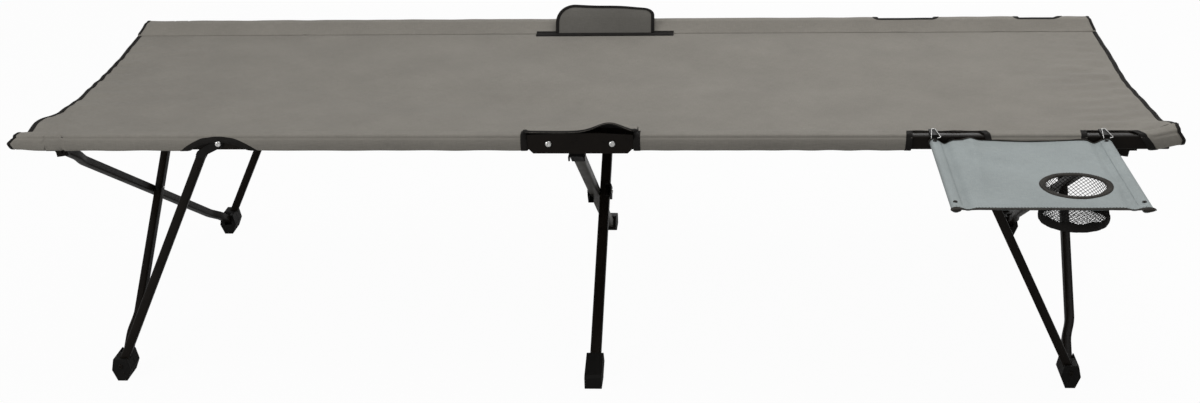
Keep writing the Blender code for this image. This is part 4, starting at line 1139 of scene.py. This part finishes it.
class COT_OT_flaps(bpy.types.Operator):
    """Make the loose flaps over the hinge brackets and the strips that hold them"""

    bl_idname = "cot.flaps"
    bl_label = "Bracket flaps"

    def execute(self, context):
        settings = context.scene.cot
        self.far_flap()
        self.near_flap()
        for side in SIDES:
            self.strip(side, settings)
        return {"FINISHED"}

    def sides(self, up, height, half, middle, corners):
        """Left and right x of a flap at a height: straight sides with rounded top corners."""
        edges = []
        for sign, corner in zip((-1, 1), corners):
            rounded = 1 - np.sqrt(1 - np.clip(1 - (height - up) / corner, 0, 1) ** 2)
            edges.append(middle + sign * (half - corner * rounded))
        return edges

    def flap(self, side, outline, path, wave, materials, bare=0.0):
        """Sheet along a path in (y, z) from its foot, as wide as its outline, with its border tape.

        `wave` pushes it outwards by its x and its share of the height, and its sides are bare of tape up to
        the share `bare` of its height.
        """
        half, middle, corners, slope = outline
        body = f"middle_{side}"
        foot = [RAIL_Y[side] - SIDES[side] * ROLL_TAIL, BED_LEVEL + FLAP_FOOT]
        path = smoothed(evenly(foot + np.array(path), 0.0005), 40)
        length = running_length(path)
        height = length[-1]
        normal = unit(np.gradient(path, axis=0)[:, ::-1] * [-1, 1])

        def place(x, up, lift):
            share = (x - middle + half) / (2 * half)
            run = up * (1 - slope * np.clip(share, 0, 1) * up / height)
            push = wave(x, up / height) + lift
            y, z = (
                np.interp(run, length, path[:, axis]) + push * np.interp(run, length, normal[:, axis])
                for axis in (0, 1)
            )
            return stacked(x, y, z)

        up = np.linspace(0, height, 40)
        left, right = self.sides(up, height, half, middle, corners)
        x = left[:, None] + (right - left)[:, None] * np.linspace(0, 1, 61)
        points = place(x, up[:, None], 0.0)
        name = f"flap_cloth_{side}"
        obj = surface(name, points, stacked(x, up[:, None]))
        thicken(obj, FLAP_WALL, 0.0, under=1)
        dress(obj, body, materials, [f"flap_{side}"])
        flat_size(points)
        fine = height * (bare + (1 - bare) * np.sin(np.linspace(0, np.pi / 2, 90)))
        left, right = self.sides(fine, height, half, middle, corners)
        curve = evenly(np.concatenate([stacked(left, fine), stacked(right, fine)[::-1]]), 0.0025)[::-1]
        for face, word in ((1, "over"), (-1, "under")):
            points, uv = edge_strip(curve, FLAP_TAPE, place, TAPE_LIFT * face)
            tape(f"{name}_tape_{word}", points, uv, body, TAPE_WALL, face < 0)

    def far_flap(self):
        """Stands up over the far bracket and leans away, higher at its left."""

        def wave(x, share):
            return (0.0016 * np.sin(30 * x + 1.0) + 0.0010 * np.sin(61 * x)) * share ** 2

        self.flap("far", FAR_FLAP, FAR_PATH, wave, [FLAP_BACK_SHADE, FLAP_CLOTH])

    def near_flap(self):
        """Lies out over the near bracket with its free edge lifted in a wave."""

        def wave(x, share):
            hump = 0.0165 * np.exp(-(((x - 0.052) / 0.032) ** 2)) + 0.0004 * np.sin(45 * x)
            return -hump * share ** 1.2

        # Its underside takes the black painted shade
        self.flap("near", NEAR_FLAP, NEAR_PATH, wave, [BED_CLOTH, FLAP_BACK_SHADE], NEAR_BARE)

    def strip(self, side, settings):
        """Tape along a flap's foot, half on the bed and half on the sheet that rises to the rail."""
        inset = np.linspace(*STRIP_ACROSS, 14)
        rise = STRIP_SLOPE * np.clip(BED_LAP - inset, 0, None)
        edge = 0.0011 * np.sin(np.linspace(0, np.pi, len(inset))) ** 0.5
        v = SIDES[side] * (1 - inset / BED_HALF)
        for name, (body, low, high, _) in BED_PARTS.items():
            x = np.linspace(max(low, STRIP_ENDS[0]), min(high, STRIP_ENDS[1]), 40)[:, None]
            points = bed_place(x, v, settings, edge + rise + 0.0006)
            uv = stacked(x, v * BED_HALF)
            crumple(tape(f"flap_strip_{side}_{name}", points, uv, body, TAPE_WALL, side == "far"))


def body_of_node(node):
    """The body that holds a node."""
    bodies = frame["record"]["behaviour"]["bodies"]
    return next(body for body, nodes in bodies.items() if node in nodes)


def refined(node, material, edge=0.0):
    """Copy of a frame node, merged, with flat faces joined, its edges rounded and smooth shading."""
    source = frame["nodes"][node]
    obj = new_object(f"{node}_finish", source.data.copy())
    obj.data.materials.clear()

    def work(bm):
        bmesh.ops.remove_doubles(bm, verts=bm.verts, dist=NODE_MERGE)
        flat = np.radians(FLAT_ANGLE)
        bmesh.ops.dissolve_limit(bm, angle_limit=flat, verts=bm.verts, edges=bm.edges)

    edit(obj, work)
    smooth_by_angle(obj)
    chamfer(obj, edge)
    return dress(obj, body_of_node(node), material, [node])


class COT_OT_frame(bpy.types.Operator):
    """Finish the frame's tubes, brackets, forks and feet, and sweep the bent braces"""

    bl_idname = "cot.frame"
    bl_label = "Frame"

    def execute(self, context):
        for node in PAINTED:
            # The near mid leg's tube takes the lighter copy of the coat: painted light on its lit face
            paint = MID_LEG_PAINTED_LIGHT if node == "mid_leg_near_tube" else PAINT
            pressed = "bracket" in node or "lug" in node
            refined(node, paint, PRESSED_EDGE if pressed else 0.0)
        for node in MOULDED:
            refined(node, PLASTIC, MOULDED_EDGE)
        for node in STEEL_PINS:
            frame["nodes"][node].data.materials.clear()
            frame["nodes"][node].data.materials.append(STEEL)
        for end, side in CORNERS:
            self.brace(end, side)
        return {"FINISHED"}

    def brace(self, end, side):
        """Square tube with soft corners, stepping sideways near both ends to pass the other brace."""
        other = "far" if side == "near" else "near"
        top = joint_place(f"brace_turn_{end}_{side}")
        foot = joint_place(f"rear_foot_turn_{end}_{other}")
        axis = np.array(JOINTS[f"brace_turn_{end}_{side}"]["axis"])
        length = np.linalg.norm(foot - top)
        down = (foot - top) / length
        straight = np.linspace(BRACE_END, length - BRACE_END, 90)
        away = np.concatenate([CAP_AWAY, straight, length - CAP_AWAY[::-1]])
        near_end = np.minimum(away, length - away)
        step = BRACE_STEP * smooth_step((near_end - BRACE_STEP_START) / BRACE_STEP_LENGTH)
        path = top + away[:, None] * down + step[:, None] * axis
        section = rounded_square(BRACE_HALF, BRACE_CORNER)
        cap = np.ones(len(away))
        cap[[0, -1]], cap[[1, -2]] = CAP_SHARES
        along = unit(np.gradient(path, axis=0))
        thin = unit(np.cross(along, axis))
        wide = np.cross(thin, along)
        grid = path[:, None] + section[None, :, :1] * wide[:, None]
        grid = grid + section[None, :, 1:] * (cap[:, None, None] * thin[:, None])
        name = f"brace_{end}_{side}"
        solid(f"brace_tube_{end}_{side}", grid, name, PAINT, degrees=50.0, replaces=[name])


def head_grid(place, axis, radius, height, dimple):
    """Domed head: profile from its rim up and over to a small dimple in its middle, turned about an axis."""
    share = np.linspace(0, 1, 9)
    over = radius * (1 - share) ** 0.75 * (1 - dimple) + radius * dimple
    dome = stacked(over, height * np.sqrt(np.clip(share * (2 - share), 0, 1)))
    foot = [[0.0, -height * 0.2], [radius, -height * 0.2]]
    inner = radius * dimple
    pit = [[inner * 0.8, height * 0.55], [inner * 0.45, height * 0.45], [0.0, height * 0.45]]
    grid = lathe_grid(np.concatenate([foot, dome, pit]), 24)
    turn = np.array(Vector(axis).to_track_quat("Z", "Y").to_matrix())
    return grid @ turn.T + np.asarray(place)


def heads(name, body, material, items):
    """One piece with several heads, each a place, an axis and its sizes."""
    obj = joined(name, [head_grid(*item) for item in items])
    close_and_turn_out(obj)
    smooth_by_angle(obj, 35.0)
    return dress(obj, body, material)


class COT_OT_fasteners(bpy.types.Operator):
    """Make the heads of rivets and bolts, the rail plugs, the mid legs' saddles, clevises and end blocks"""

    bl_idname = "cot.fasteners"
    bl_label = "Fasteners"

    def execute(self, context):
        for side, sign in SIDES.items():
            self.bracket(side, sign)
        for end, side in CORNERS:
            self.leg(end, side)
            self.plug(end, side)
        for side, sign in (("near", 1), ("far", -1)):
            self.saddle(side, sign)
        for side in SIDES:
            self.clevis(side)
        return {"FINISHED"}

    def bracket(self, side, sign):
        """Heads on both faces of a hinge bracket and the two dots between them."""
        out_y = RAIL_Y[side] + sign * BRACKET_OUT
        in_y = RAIL_Y[side] - sign * BRACKET_OUT
        items = []
        for x in (-HINGE_X, HINGE_X):
            items.append(((x, out_y, RAIL_Z), (0, sign, 0), *HINGE_HEAD))
            items.append(((x, in_y, RAIL_Z), (0, -sign, 0), *BACK_HEAD))
        heads(f"bracket_rivets_{side}", f"middle_{side}", STEEL, items)
        dots = [((x, out_y, RAIL_Z + 0.0085), (0, sign, 0), *BRACKET_DOT) for x in (-0.0065, 0.0065)]
        heads(f"bracket_buttons_{side}", f"middle_{side}", PAINT, dots)

    def leg(self, end, side):
        """Heads at the fork, on the leg tube under it and at the foot."""
        sign = SIDES[side]
        body = f"leg_{end}_{side}"
        knee = joint_place(f"leg_turn_{end}_{side}")
        items = [
            (knee + [0, sign * KNEE_OUT, 0], (0, sign, 0), *KNEE_HEAD),
            (knee - [0, sign * KNEE_OUT, 0], (0, -sign, 0), *BACK_HEAD),
        ]
        heads(f"knee_rivets_{end}_{side}", body, STEEL, items)
        foot_box = node_box(f"foot_front_{end}_{side}")
        tube_box = node_box(f"leg_{end}_{side}_tube")
        foot = (foot_box[0] + foot_box[1]) / 2
        outer = 1 if sign > 0 else 0
        out_y, tube_y = foot_box[outer][1], tube_box[outer][1]
        lean = Vector((foot[0] - knee[0], 0, foot[2] - knee[2])).normalized()
        top_x = tube_box[0][0] if end == "right" else tube_box[1][0]
        upper = np.array([top_x + ENDS[end] * 0.011, tube_y, tube_box[1][2] - 0.020])
        upper = upper + np.array(lean) * 0.004
        items = [
            (upper, (0, sign, 0), *TUBE_HEAD),
            (np.array([foot[0], out_y, 0.030]), (0, sign, 0), *BOLT_HEAD),
            (np.array([foot[0] - ENDS[end] * 0.004, out_y, 0.0155]), (0, sign, 0), *FOOT_DOT),
        ]
        heads(f"leg_rivets_{end}_{side}", body, PAINT, items)

    def plug(self, end, side):
        """Moulded plug in a rail's end: the rail's section at several sizes past its end."""
        section = rounded_square(RAIL_HALF, PLUG_CORNER)
        x = ENDS[end] * (RAIL_END + PLUG_X)[:, None]
        grid = stacked(x, RAIL_Y[side] + section[:, 0] * PLUG_SIZE, RAIL_Z + section[:, 1] * PLUG_SIZE)
        solid(f"rail_plug_{end}_{side}", grid, f"rail_{end}_{side}", PLASTIC)

    def leg_axes(self, side):
        """Directions along a mid leg and across it in its own plane."""
        along = unit((MID_CROSS - MID_PIVOT[side]) * [0, 1, 1])
        return along, np.array([0.0, -along[2], along[1]])

    def saddle(self, side, sign):
        """A U round the outer sides of a mid leg where the legs cross, and the head on it."""
        body = f"mid_leg_{side}"
        along, thin = self.leg_axes(side)
        middle = MID_CROSS + [sign * MID_LEG_OFFSET, 0, 0]
        outer = sign * (MID_LEG_HALF + SADDLE_PLAY[1])
        inner = SADDLE_SHAPE * [MID_LEG_HALF + SADDLE_PLAY[0], outer]
        shell = SADDLE_SHAPE * [MID_LEG_HALF + SADDLE_WALL, outer]
        shell[1:3, 1] += sign * SADDLE_WALL
        loop = np.concatenate([inner, shell[::-1]])
        heights = np.array([-SADDLE_HALF, SADDLE_HALF])
        grid = middle + heights[:, None, None] * along + loop[None, :, :1] * thin
        grid = grid + loop[None, :, 1:] * np.array([1.0, 0, 0])
        solid(f"mid_saddle_{side}", grid, body, PLASTIC, SADDLE_EDGE)
        place = middle + [sign * (MID_LEG_HALF + SADDLE_WALL + 0.0002), 0, 0]
        items = [(place, (sign, 0, 0), *CROSS_HEAD)]
        heads(f"mid_cross_head_{side}", body, STEEL, items)

    def clevis(self, side):
        """Bolt heads and round-ended plates that hang from a hinge bracket, and the mid leg's end block."""
        pivot = MID_PIVOT[side]
        along, thin = self.leg_axes(side)
        items = [(pivot + [face * CLEVIS_PLATE[1], 0, 0], (face, 0, 0), *BOLT_HEAD) for face in (-1, 1)]
        heads(f"clevis_heads_{side}", f"middle_{side}", PAINT, items)
        turn = np.linspace(0, np.pi, 17)
        arc = CLEVIS_RADIUS * stacked(np.cos(turn), -np.sin(turn)) + [pivot[1], pivot[2] - CLEVIS_DROP]
        level = max(node_box(f"hinge_bracket_{side}")[0][2] + 0.002, arc[0, 1] + 0.001)
        outline = np.vstack([[arc[0, 0], level], arc, [arc[-1, 0], level]])
        for number, face in enumerate((-1, 1)):
            x = pivot[0] + face * np.array(CLEVIS_PLATE)
            grid = stacked(x[:, None], *outline.T)
            solid(f"clevis_plate_{side}_{number}", grid, f"middle_{side}", PAINT)
        corner = np.array([[-1, -1], [1, -1], [1, 1], [-1, 1]]) * END_BLOCK_HALF
        rows = pivot + np.array(END_BLOCK_RUN)[:, None] * along
        grid = rows[:, None, :] + corner[:, :1] * np.array([1.0, 0, 0]) + corner[:, 1:] * thin
        solid(f"mid_end_block_{side}", grid, f"mid_leg_{side}", PLASTIC, END_BLOCK_EDGE)


def around_cup(radius, turn):
    """X and y at a radius and an angle round the cup hole's middle."""
    return RING_MIDDLE[0] + radius * np.cos(turn), RING_MIDDLE[1] + radius * np.sin(turn)


class COT_OT_table(bpy.types.Operator):
    """Make the side table's cloth, its tapes, ring, screws and the hooks' spring clips"""

    bl_idname = "cot.table"
    bl_label = "Side table"

    def execute(self, context):
        self.top()
        self.seams()
        self.edges()
        self.ring()
        self.hardware()
        return {"FINISHED"}

    def height(self, x, y):
        """Dish, crease, fold, valleys and soft waves of the cloth over its flat level."""
        u = (x - ARM_X[0]) / ARM_GAP
        v = (y - TABLE_LOW[1]) / (TABLE_HIGH[1] - TABLE_LOW[1])
        inside = np.clip(4 * u * (1 - u), 0, 1)
        dish = -TABLE_DISH * np.clip(np.sin(np.pi * np.clip(u, 0, 1)), 0, 1) ** 0.5
        line = v - 0.86 + 0.42 * u
        crease = TABLE_CREASE * np.exp(-((line / 0.08) ** 2)) * smooth_step((u - 0.08) / 0.2)
        crease = crease * smooth_step((0.62 - u) / 0.3)
        fold = TABLE_FOLD * np.exp(-(((u - 0.17 - 0.04 * v) / 0.035) ** 2)) * smooth_step((v - 0.1) / 0.4)
        valley = -TABLE_VALLEY * sum(np.exp(-(((u - place) / half) ** 2)) for place, half in VALLEYS)
        soft = TABLE_SOFT * waves(u, v, 31, 5, 0.6, 1.6) * inside
        from_ring = np.hypot(x - RING_MIDDLE[0], y - RING_MIDDLE[1]) / CUP_RING_OUT
        free = smooth_step((from_ring - 0.95) / 0.5)
        return dish + (valley + (crease + fold + soft) * np.clip(inside * 3, 0, 1)) * free

    def place(self, along, y, lift):
        """Point of the cloth at a distance from its left seam round the left arm, over and round the right.

        Its pockets swell a little outwards, and beyond the arms' ends they close to a flat seam.
        """
        along, y = np.broadcast_arrays(np.asarray(along, float), np.asarray(y, float))
        left = along < ARM_WRAP
        right = along > ARM_WRAP + ARM_GAP
        turn_left = np.pi / 2 + (ARM_WRAP - along) / TABLE_ROLL
        turn_right = np.pi / 2 - (along - ARM_WRAP - ARM_GAP) / TABLE_ROLL
        angle = np.where(left, turn_left, np.where(right, turn_right, np.pi / 2))
        centre = np.where(left, ARM_X[0], np.where(right, ARM_X[1], ARM_X[0] + along - ARM_WRAP))
        reach = TABLE_ROLL + lift
        outward = np.where(left, np.cos(angle) < 0, right & (np.cos(angle) > 0))
        swell = np.where(left, TABLE_SWELL["left"], TABLE_SWELL["right"])
        x = centre + reach * np.cos(angle) * np.where(outward, swell, 1.0)
        z = ARM_Z + reach * np.sin(angle)
        z = z + np.where(left | right, 0.0, self.height(centre, y))
        past = np.clip((TABLE_LOW[1] - y) / TABLE_CLOSE, 0, 1)
        return stacked(x, y, CLOSE_LEVEL + (z - CLOSE_LEVEL) * (1 - CLOSE_SHARE * past ** 1.4))

    def top(self):
        """Cloth over both arms with a round hole for a cup."""
        along = np.linspace(0, TABLE_WIDTH, 150)[:, None]
        seam = TABLE_NEAR + TABLE_CLOSE * np.linspace(0, 1, 8)[:-1]
        y = np.concatenate([seam, np.linspace(TABLE_LOW[1], TABLE_HIGH[1], 120)])
        points = self.place(along, y, -0.0002)
        away = np.hypot(points[..., 0] - RING_MIDDLE[0], points[..., 1] - RING_MIDDLE[1])
        keep = ~((away < CUP_HOLE) & (points[..., 2] > ARM_Z))
        obj = masked_surface("table_cloth", points, stacked(along, y), keep)
        thicken(obj, TABLE_WALL)
        dress(obj, "table", TABLE_CLOTH, ["table_top"])
        flat_size(points)

    def seams(self):
        """Stitches beside both arms and along the near tape."""
        y = np.arange(TABLE_LOW[1] + 0.012, TABLE_HIGH[1] - 0.008, TABLE_STITCH_STEP)
        along = np.arange(ARM_WRAP, TABLE_WIDTH - ARM_WRAP, TABLE_STITCH_STEP)
        rows = [
            stacked(ARM_WRAP + ARM_SEAM, y),
            stacked(TABLE_WIDTH - ARM_WRAP - ARM_SEAM, y),
            stacked(along, TABLE_NEAR + NEAR_SEAM),
        ]
        marks = np.concatenate(rows)
        step = np.where(np.arange(len(marks))[:, None] < 2 * len(y), [[0.0, 0.001]], [[0.001, 0.0]])
        places = self.place(*marks.T, TABLE_STITCH_LIFT)
        ahead = self.place(*(marks + step).T, TABLE_STITCH_LIFT)
        above = places + [0, 0, 0.001]
        obj = stitches("table_stitches", places, ahead - places, above - places)
        dress(obj, "table", TABLE_THREAD)

    def edges(self):
        """Tape folded over the near edge, a little loose at its corners, and a narrow one at the far."""
        along = np.linspace(0.004, TABLE_WIDTH - 0.004, 170)[:, None]
        loop = np.linspace(-1, 1, 15)
        wave = 0.0007 * np.sin(95 * along) + 0.0005 * np.sin(41 * along + 1)
        for name, edge, sign, width in TABLE_TAPES:
            y = edge + sign * (0.0016 - width * np.abs(loop) ** 1.3)
            y = y + sign * (wave * 1.2) * (1 - np.abs(loop))
            lift = 0.0002 + np.sign(loop) * (0.0012 * np.abs(loop) ** 0.5) + wave * (1 - np.abs(loop))
            points = self.place(along, y, lift - 0.0005)
            uv = stacked(along, loop * width)
            tape(f"table_tape_{name}", points, uv, "table", TABLE_TAPE_WALL, sign > 0, TRIM)

    def ring(self):
        """Tape folded round the cup hole: a flat oval section carried round the hole, a little uneven."""
        turn = full_turn(120)[:, None]
        section = full_turn(16)
        middle = (CUP_HOLE + CUP_RING_OUT) / 2 - RING_INSET
        half = (CUP_RING_OUT - CUP_HOLE) / 2 + RING_OVER
        level = ARM_Z + TABLE_ROLL - RING_SINK
        wobble = 0.0003 * np.sin(3 * turn + 1) + 0.0002 * np.sin(7 * turn)
        x, y = around_cup(middle + wobble + half * np.cos(section), turn)
        oval = np.sign(np.sin(section)) * np.abs(np.sin(section)) ** 0.7
        points = stacked(x, y, level + self.height(x, y) + (RING_HALF_HEIGHT + wobble) * oval)
        uv = stacked(turn * middle, section * 0.003)
        obj = surface("cup_ring_tape", points, uv, wrap_rows=True, wrap_columns=True)
        close_and_turn_out(obj)
        dress(obj, "table", TRIM, ["cup_ring"])
        turn = full_turn(RING_STITCHES)
        x, y = around_cup(CUP_RING_OUT - RING_INSET, turn)
        places = stacked(x, y, level + self.height(x, y) + RING_STITCH_LIFT)
        along = stacked(-np.sin(turn), np.cos(turn), 0.0)
        obj = stitches("cup_ring_stitches", places, along, stacked(0.0 * turn, 0.0, 1.0))
        dress(obj, "table", BINDING)

    def hardware(self):
        """Screws at the arms' ends and the wire clips on the hooks."""
        level = ARM_Z + TABLE_ROLL - 0.0004
        rows = (TABLE_LOW[1] + 0.014, TABLE_HIGH[1] - 0.010)
        items = [((x, y, level), (0, 0, 1), *TABLE_SCREW) for x in ARM_X for y in rows]
        heads("table_screws", "table", PAINT, items)
        for number, (end, x) in enumerate(zip(ENDS, HOOK_X)):
            self.clip(f"hook_clip_{number}", x, *node_box(f"table_hook_{end}"))

    def clip(self, name, x, low, high):
        """Bent wire that springs over the rail beside a hook."""
        y0, y1 = low[1] + CLIP_INSET, high[1] - CLIP_INSET
        z = high[2] + CLIP_OVER
        corner = np.array(
            [
                [x - CLIP_HALF, y0, z],
                [x - CLIP_HALF * 0.2, y1, z + 0.0012],
                [x + CLIP_HALF * 0.5, y1, z + 0.0012],
                [x + CLIP_HALF * 1.25, y0 + 0.004, z + 0.0006],
                [x + CLIP_HALF * 0.4, y0 + 0.002, z],
            ]
        )
        path = smoothed(evenly(corner, 0.0010), 4)
        turn = full_turn(8)
        grid = sweep(path, CLIP_WIRE * stacked(np.cos(turn), np.sin(turn)), np.array([0.0, 0.0, 1.0]))
        obj = surface(name, grid, wrap_columns=True)
        close_and_turn_out(obj)
        dress(obj, "table", STEEL)


class COT_OT_basket(bpy.types.Operator):
    """Make the mesh basket under the cup hole with its band"""

    bl_idname = "cot.basket"
    bl_label = "Cup basket"

    def execute(self, context):
        low, high = node_box("cup_basket")
        top, bottom = high[2] - 0.001, low[2]
        wide = (high[0] - low[0]) / 2
        self.wall(top, bottom + BAND_HEIGHT - BAND_LAP, wide)
        self.band(bottom, wide)
        self.base(bottom + 0.0015, wide)
        return {"FINISHED"}

    def lattice(self, name, points, wrap, cord, replaces=()):
        """Net of cords: each square of a grid is turned into its two diagonals' threads by a wire frame."""
        obj = surface(name, points, wrap_columns=wrap)

        def work(bm):
            bmesh.ops.remove_doubles(bm, verts=bm.verts, dist=MERGE)
            bmesh.ops.poke(bm, faces=bm.faces)
            old = [e for e in bm.edges if not e.is_boundary and min(len(v.link_edges) for v in e.verts) > 4]
            bmesh.ops.dissolve_edges(bm, edges=old, use_verts=False)

        edit(obj, work)
        wire = obj.modifiers.new("net", "WIREFRAME")
        wire.thickness = cord
        wire.use_replace = True
        wire.use_even_offset = False
        wire.use_boundary = True
        dress(obj, "table", MESH_CORD, replaces)

    def wall(self, top, bottom, wide):
        """Net wall: rows down straight sides that swell a little low down, columns round them."""
        turn = full_turn(NET_COLUMNS)
        z = np.linspace(top, bottom, NET_ROWS)[:, None]
        share = (top - z) / (top - bottom)
        radius = CUP_HOLE + (wide - CUP_HOLE) * share + BASKET_SWELL * np.sin(np.pi * share)
        points = stacked(*around_cup(radius + 0.0006 * np.sin(7 * turn), turn), z)
        self.lattice("basket_net", points, True, NET_CORD, ["cup_basket"])

    def base(self, level, wide):
        """Net floor: a square grid drawn out to a disc."""
        v = np.linspace(-1, 1, NET_FLOOR_LINES)
        u = v[:, None]
        reach = wide - 0.002
        x = RING_MIDDLE[0] + reach * u * np.sqrt(1 - v ** 2 / 2)
        y = RING_MIDDLE[1] + reach * v * np.sqrt(1 - u ** 2 / 2)
        self.lattice("basket_floor", stacked(x, y, level), False, NET_FLOOR_CORD)

    def band(self, bottom, wide):
        """Cloth band round the foot of the basket, drawn in and out by its seam."""
        turn = full_turn(120)
        share = np.linspace(0, 1, 12)[:, None]
        z = bottom + BAND_HEIGHT * share
        pucker = 0.0009 * np.sin(17 * turn) + 0.0006 * np.sin(41 * turn + 1)
        swell = 0.0012 * np.sin(np.pi * share)
        radius = wide + 0.0004 + swell + pucker * (0.4 + 0.6 * share)
        points = stacked(*around_cup(radius, turn), z + 0.0014 * np.sin(9 * turn) * share)
        obj = surface("basket_band", points, stacked(turn * wide, z), wrap_columns=True)
        edit(obj, lambda bm: bmesh.ops.recalc_face_normals(bm, faces=bm.faces))
        thicken(obj, BAND_WALL, 0.0)
        dress(obj, "table", BINDING)


class COT_OT_stage(bpy.types.Operator):
    """Make the floor, the lamps, the world and the camera"""

    bl_idname = "cot.stage"
    bl_label = "Stage"

    def execute(self, context):
        settings = context.scene.cot
        context.scene.view_settings.view_transform = "Standard"
        self.camera(context.scene)
        self.floor(settings)
        self.light(context.scene, settings)
        return {"FINISHED"}

    def camera(self, scene):
        """Camera from its yaw, pitch and roll, its axes worked out as arrays."""
        flat = np.cos(VIEW_PITCH)
        forward = np.array([np.sin(VIEW_YAW) * flat, np.cos(VIEW_YAW) * flat, -np.sin(VIEW_PITCH)])
        level = np.array([np.cos(VIEW_YAW), -np.sin(VIEW_YAW), 0.0])
        top = np.cross(level, forward)
        right = np.cos(VIEW_ROLL) * level + np.sin(VIEW_ROLL) * top
        up = -np.sin(VIEW_ROLL) * level + np.cos(VIEW_ROLL) * top
        data = bpy.data.cameras.new("camera")
        data.sensor_width = SENSOR
        data.sensor_fit = "HORIZONTAL"
        data.lens = VIEW_FOCAL / IMAGE_WIDTH * SENSOR
        data.shift_x = -VIEW_SHIFT[0] / IMAGE_WIDTH
        data.shift_y = VIEW_SHIFT[1] / IMAGE_WIDTH
        camera = new_object("camera", data)
        turn = Matrix(np.column_stack([right, up, -forward]).tolist())
        camera.matrix_world = Matrix.Translation(VIEW_PLACE) @ turn.to_4x4()
        scene.camera = camera

    def floor(self, settings):
        """Wide floor that looks near white to the camera and keeps a soft shadow."""
        line = np.linspace(-FLOOR_REACH, FLOOR_REACH, 3)
        obj = surface("floor", stacked(line[:, None], line, FLOOR_LEVEL))
        material, tree, shader = start_material("pale_floor", Roughness=0.9, Specular_IOR_Level=0.0)
        shader.inputs["Base Color"].default_value = (*settings.floor, 1.0)
        path = add_node(tree, "ShaderNodeLightPath").outputs
        seen = maths(tree, "MAXIMUM", path["Is Camera Ray"], path["Is Transmission Ray"])
        white = add_node(tree, "ShaderNodeEmission", {"Color": WHITE, "Strength": 1.0})
        share = maths(tree, "MULTIPLY", seen, FLOOR_WHITE)
        self.mix(tree, share, shader, white, "Material Output")
        obj.data.materials.append(material)

    def mix(self, tree, share, first, second, output):
        """Surface of a material or a world: two shaders mixed by a share."""
        inputs = {"Fac": share, 1: first.outputs[0], 2: second.outputs[0]}
        mixed = add_node(tree, "ShaderNodeMixShader", inputs)
        tree.links.new(mixed.outputs[0], tree.nodes[output].inputs["Surface"])

    def light(self, scene, settings):
        """Even world that the camera sees as white, a large soft lamp over the cot and two smaller ones."""
        world = bpy.data.worlds.new("studio")
        world.use_nodes = True
        tree = world.node_tree
        background = tree.nodes["Background"]
        background.inputs["Color"].default_value = WHITE
        background.inputs["Strength"].default_value = settings.world
        seen = add_node(tree, "ShaderNodeLightPath").outputs["Is Camera Ray"]
        white = add_node(tree, "ShaderNodeBackground", {"Color": WHITE, "Strength": 1.0})
        self.mix(tree, seen, background, white, "World Output")
        scene.world = world
        for name, (place, size, share) in LAMPS.items():
            data = bpy.data.lights.new(name, "AREA")
            data.shape = "SQUARE"
            data.size = size
            data.energy = settings.lamp * share
            lamp = new_object(name, data)
            aim = Vector(LAMP_AIM) - Vector(place)
            lamp.matrix_world = Matrix.Translation(place) @ aim.to_track_quat("-Z", "Y").to_matrix().to_4x4()


class COT_PT_panel(bpy.types.Panel):
    """Sidebar list of the cot's operators"""

    bl_label = "Camping cot"
    bl_idname = "COT_PT_panel"
    bl_space_type = "VIEW_3D"
    bl_region_type = "UI"
    bl_category = "Cot"

    def draw(self, context):
        for name in CotSettings.__annotations__:
            self.layout.prop(context.scene.cot, name)
        for operator in OPERATORS:
            self.layout.operator(operator.bl_idname)


OPERATORS = (
    COT_OT_stage,
    COT_OT_bed,
    COT_OT_sleeves,
    COT_OT_flaps,
    COT_OT_frame,
    COT_OT_fasteners,
    COT_OT_table,
    COT_OT_basket,
)


def register():
    """Register the classes and the scene's settings."""
    for cls in (CotSettings, *OPERATORS, COT_PT_panel):
        bpy.utils.register_class(cls)
    bpy.types.Scene.cot = bpy.props.PointerProperty(type=CotSettings)


def unregister():
    """Undo register()."""
    del bpy.types.Scene.cot
    for cls in reversed((CotSettings, *OPERATORS, COT_PT_panel)):
        bpy.utils.unregister_class(cls)


def main():
    """Register the add-on, then make every piece."""
    register()
    bpy.ops.cot.stage()
    bpy.ops.cot.bed()
    bpy.ops.cot.sleeves()
    bpy.ops.cot.flaps()
    bpy.ops.cot.frame()
    bpy.ops.cot.fasteners()
    bpy.ops.cot.table()
    bpy.ops.cot.basket()


if __name__ == "__main__":
    main()
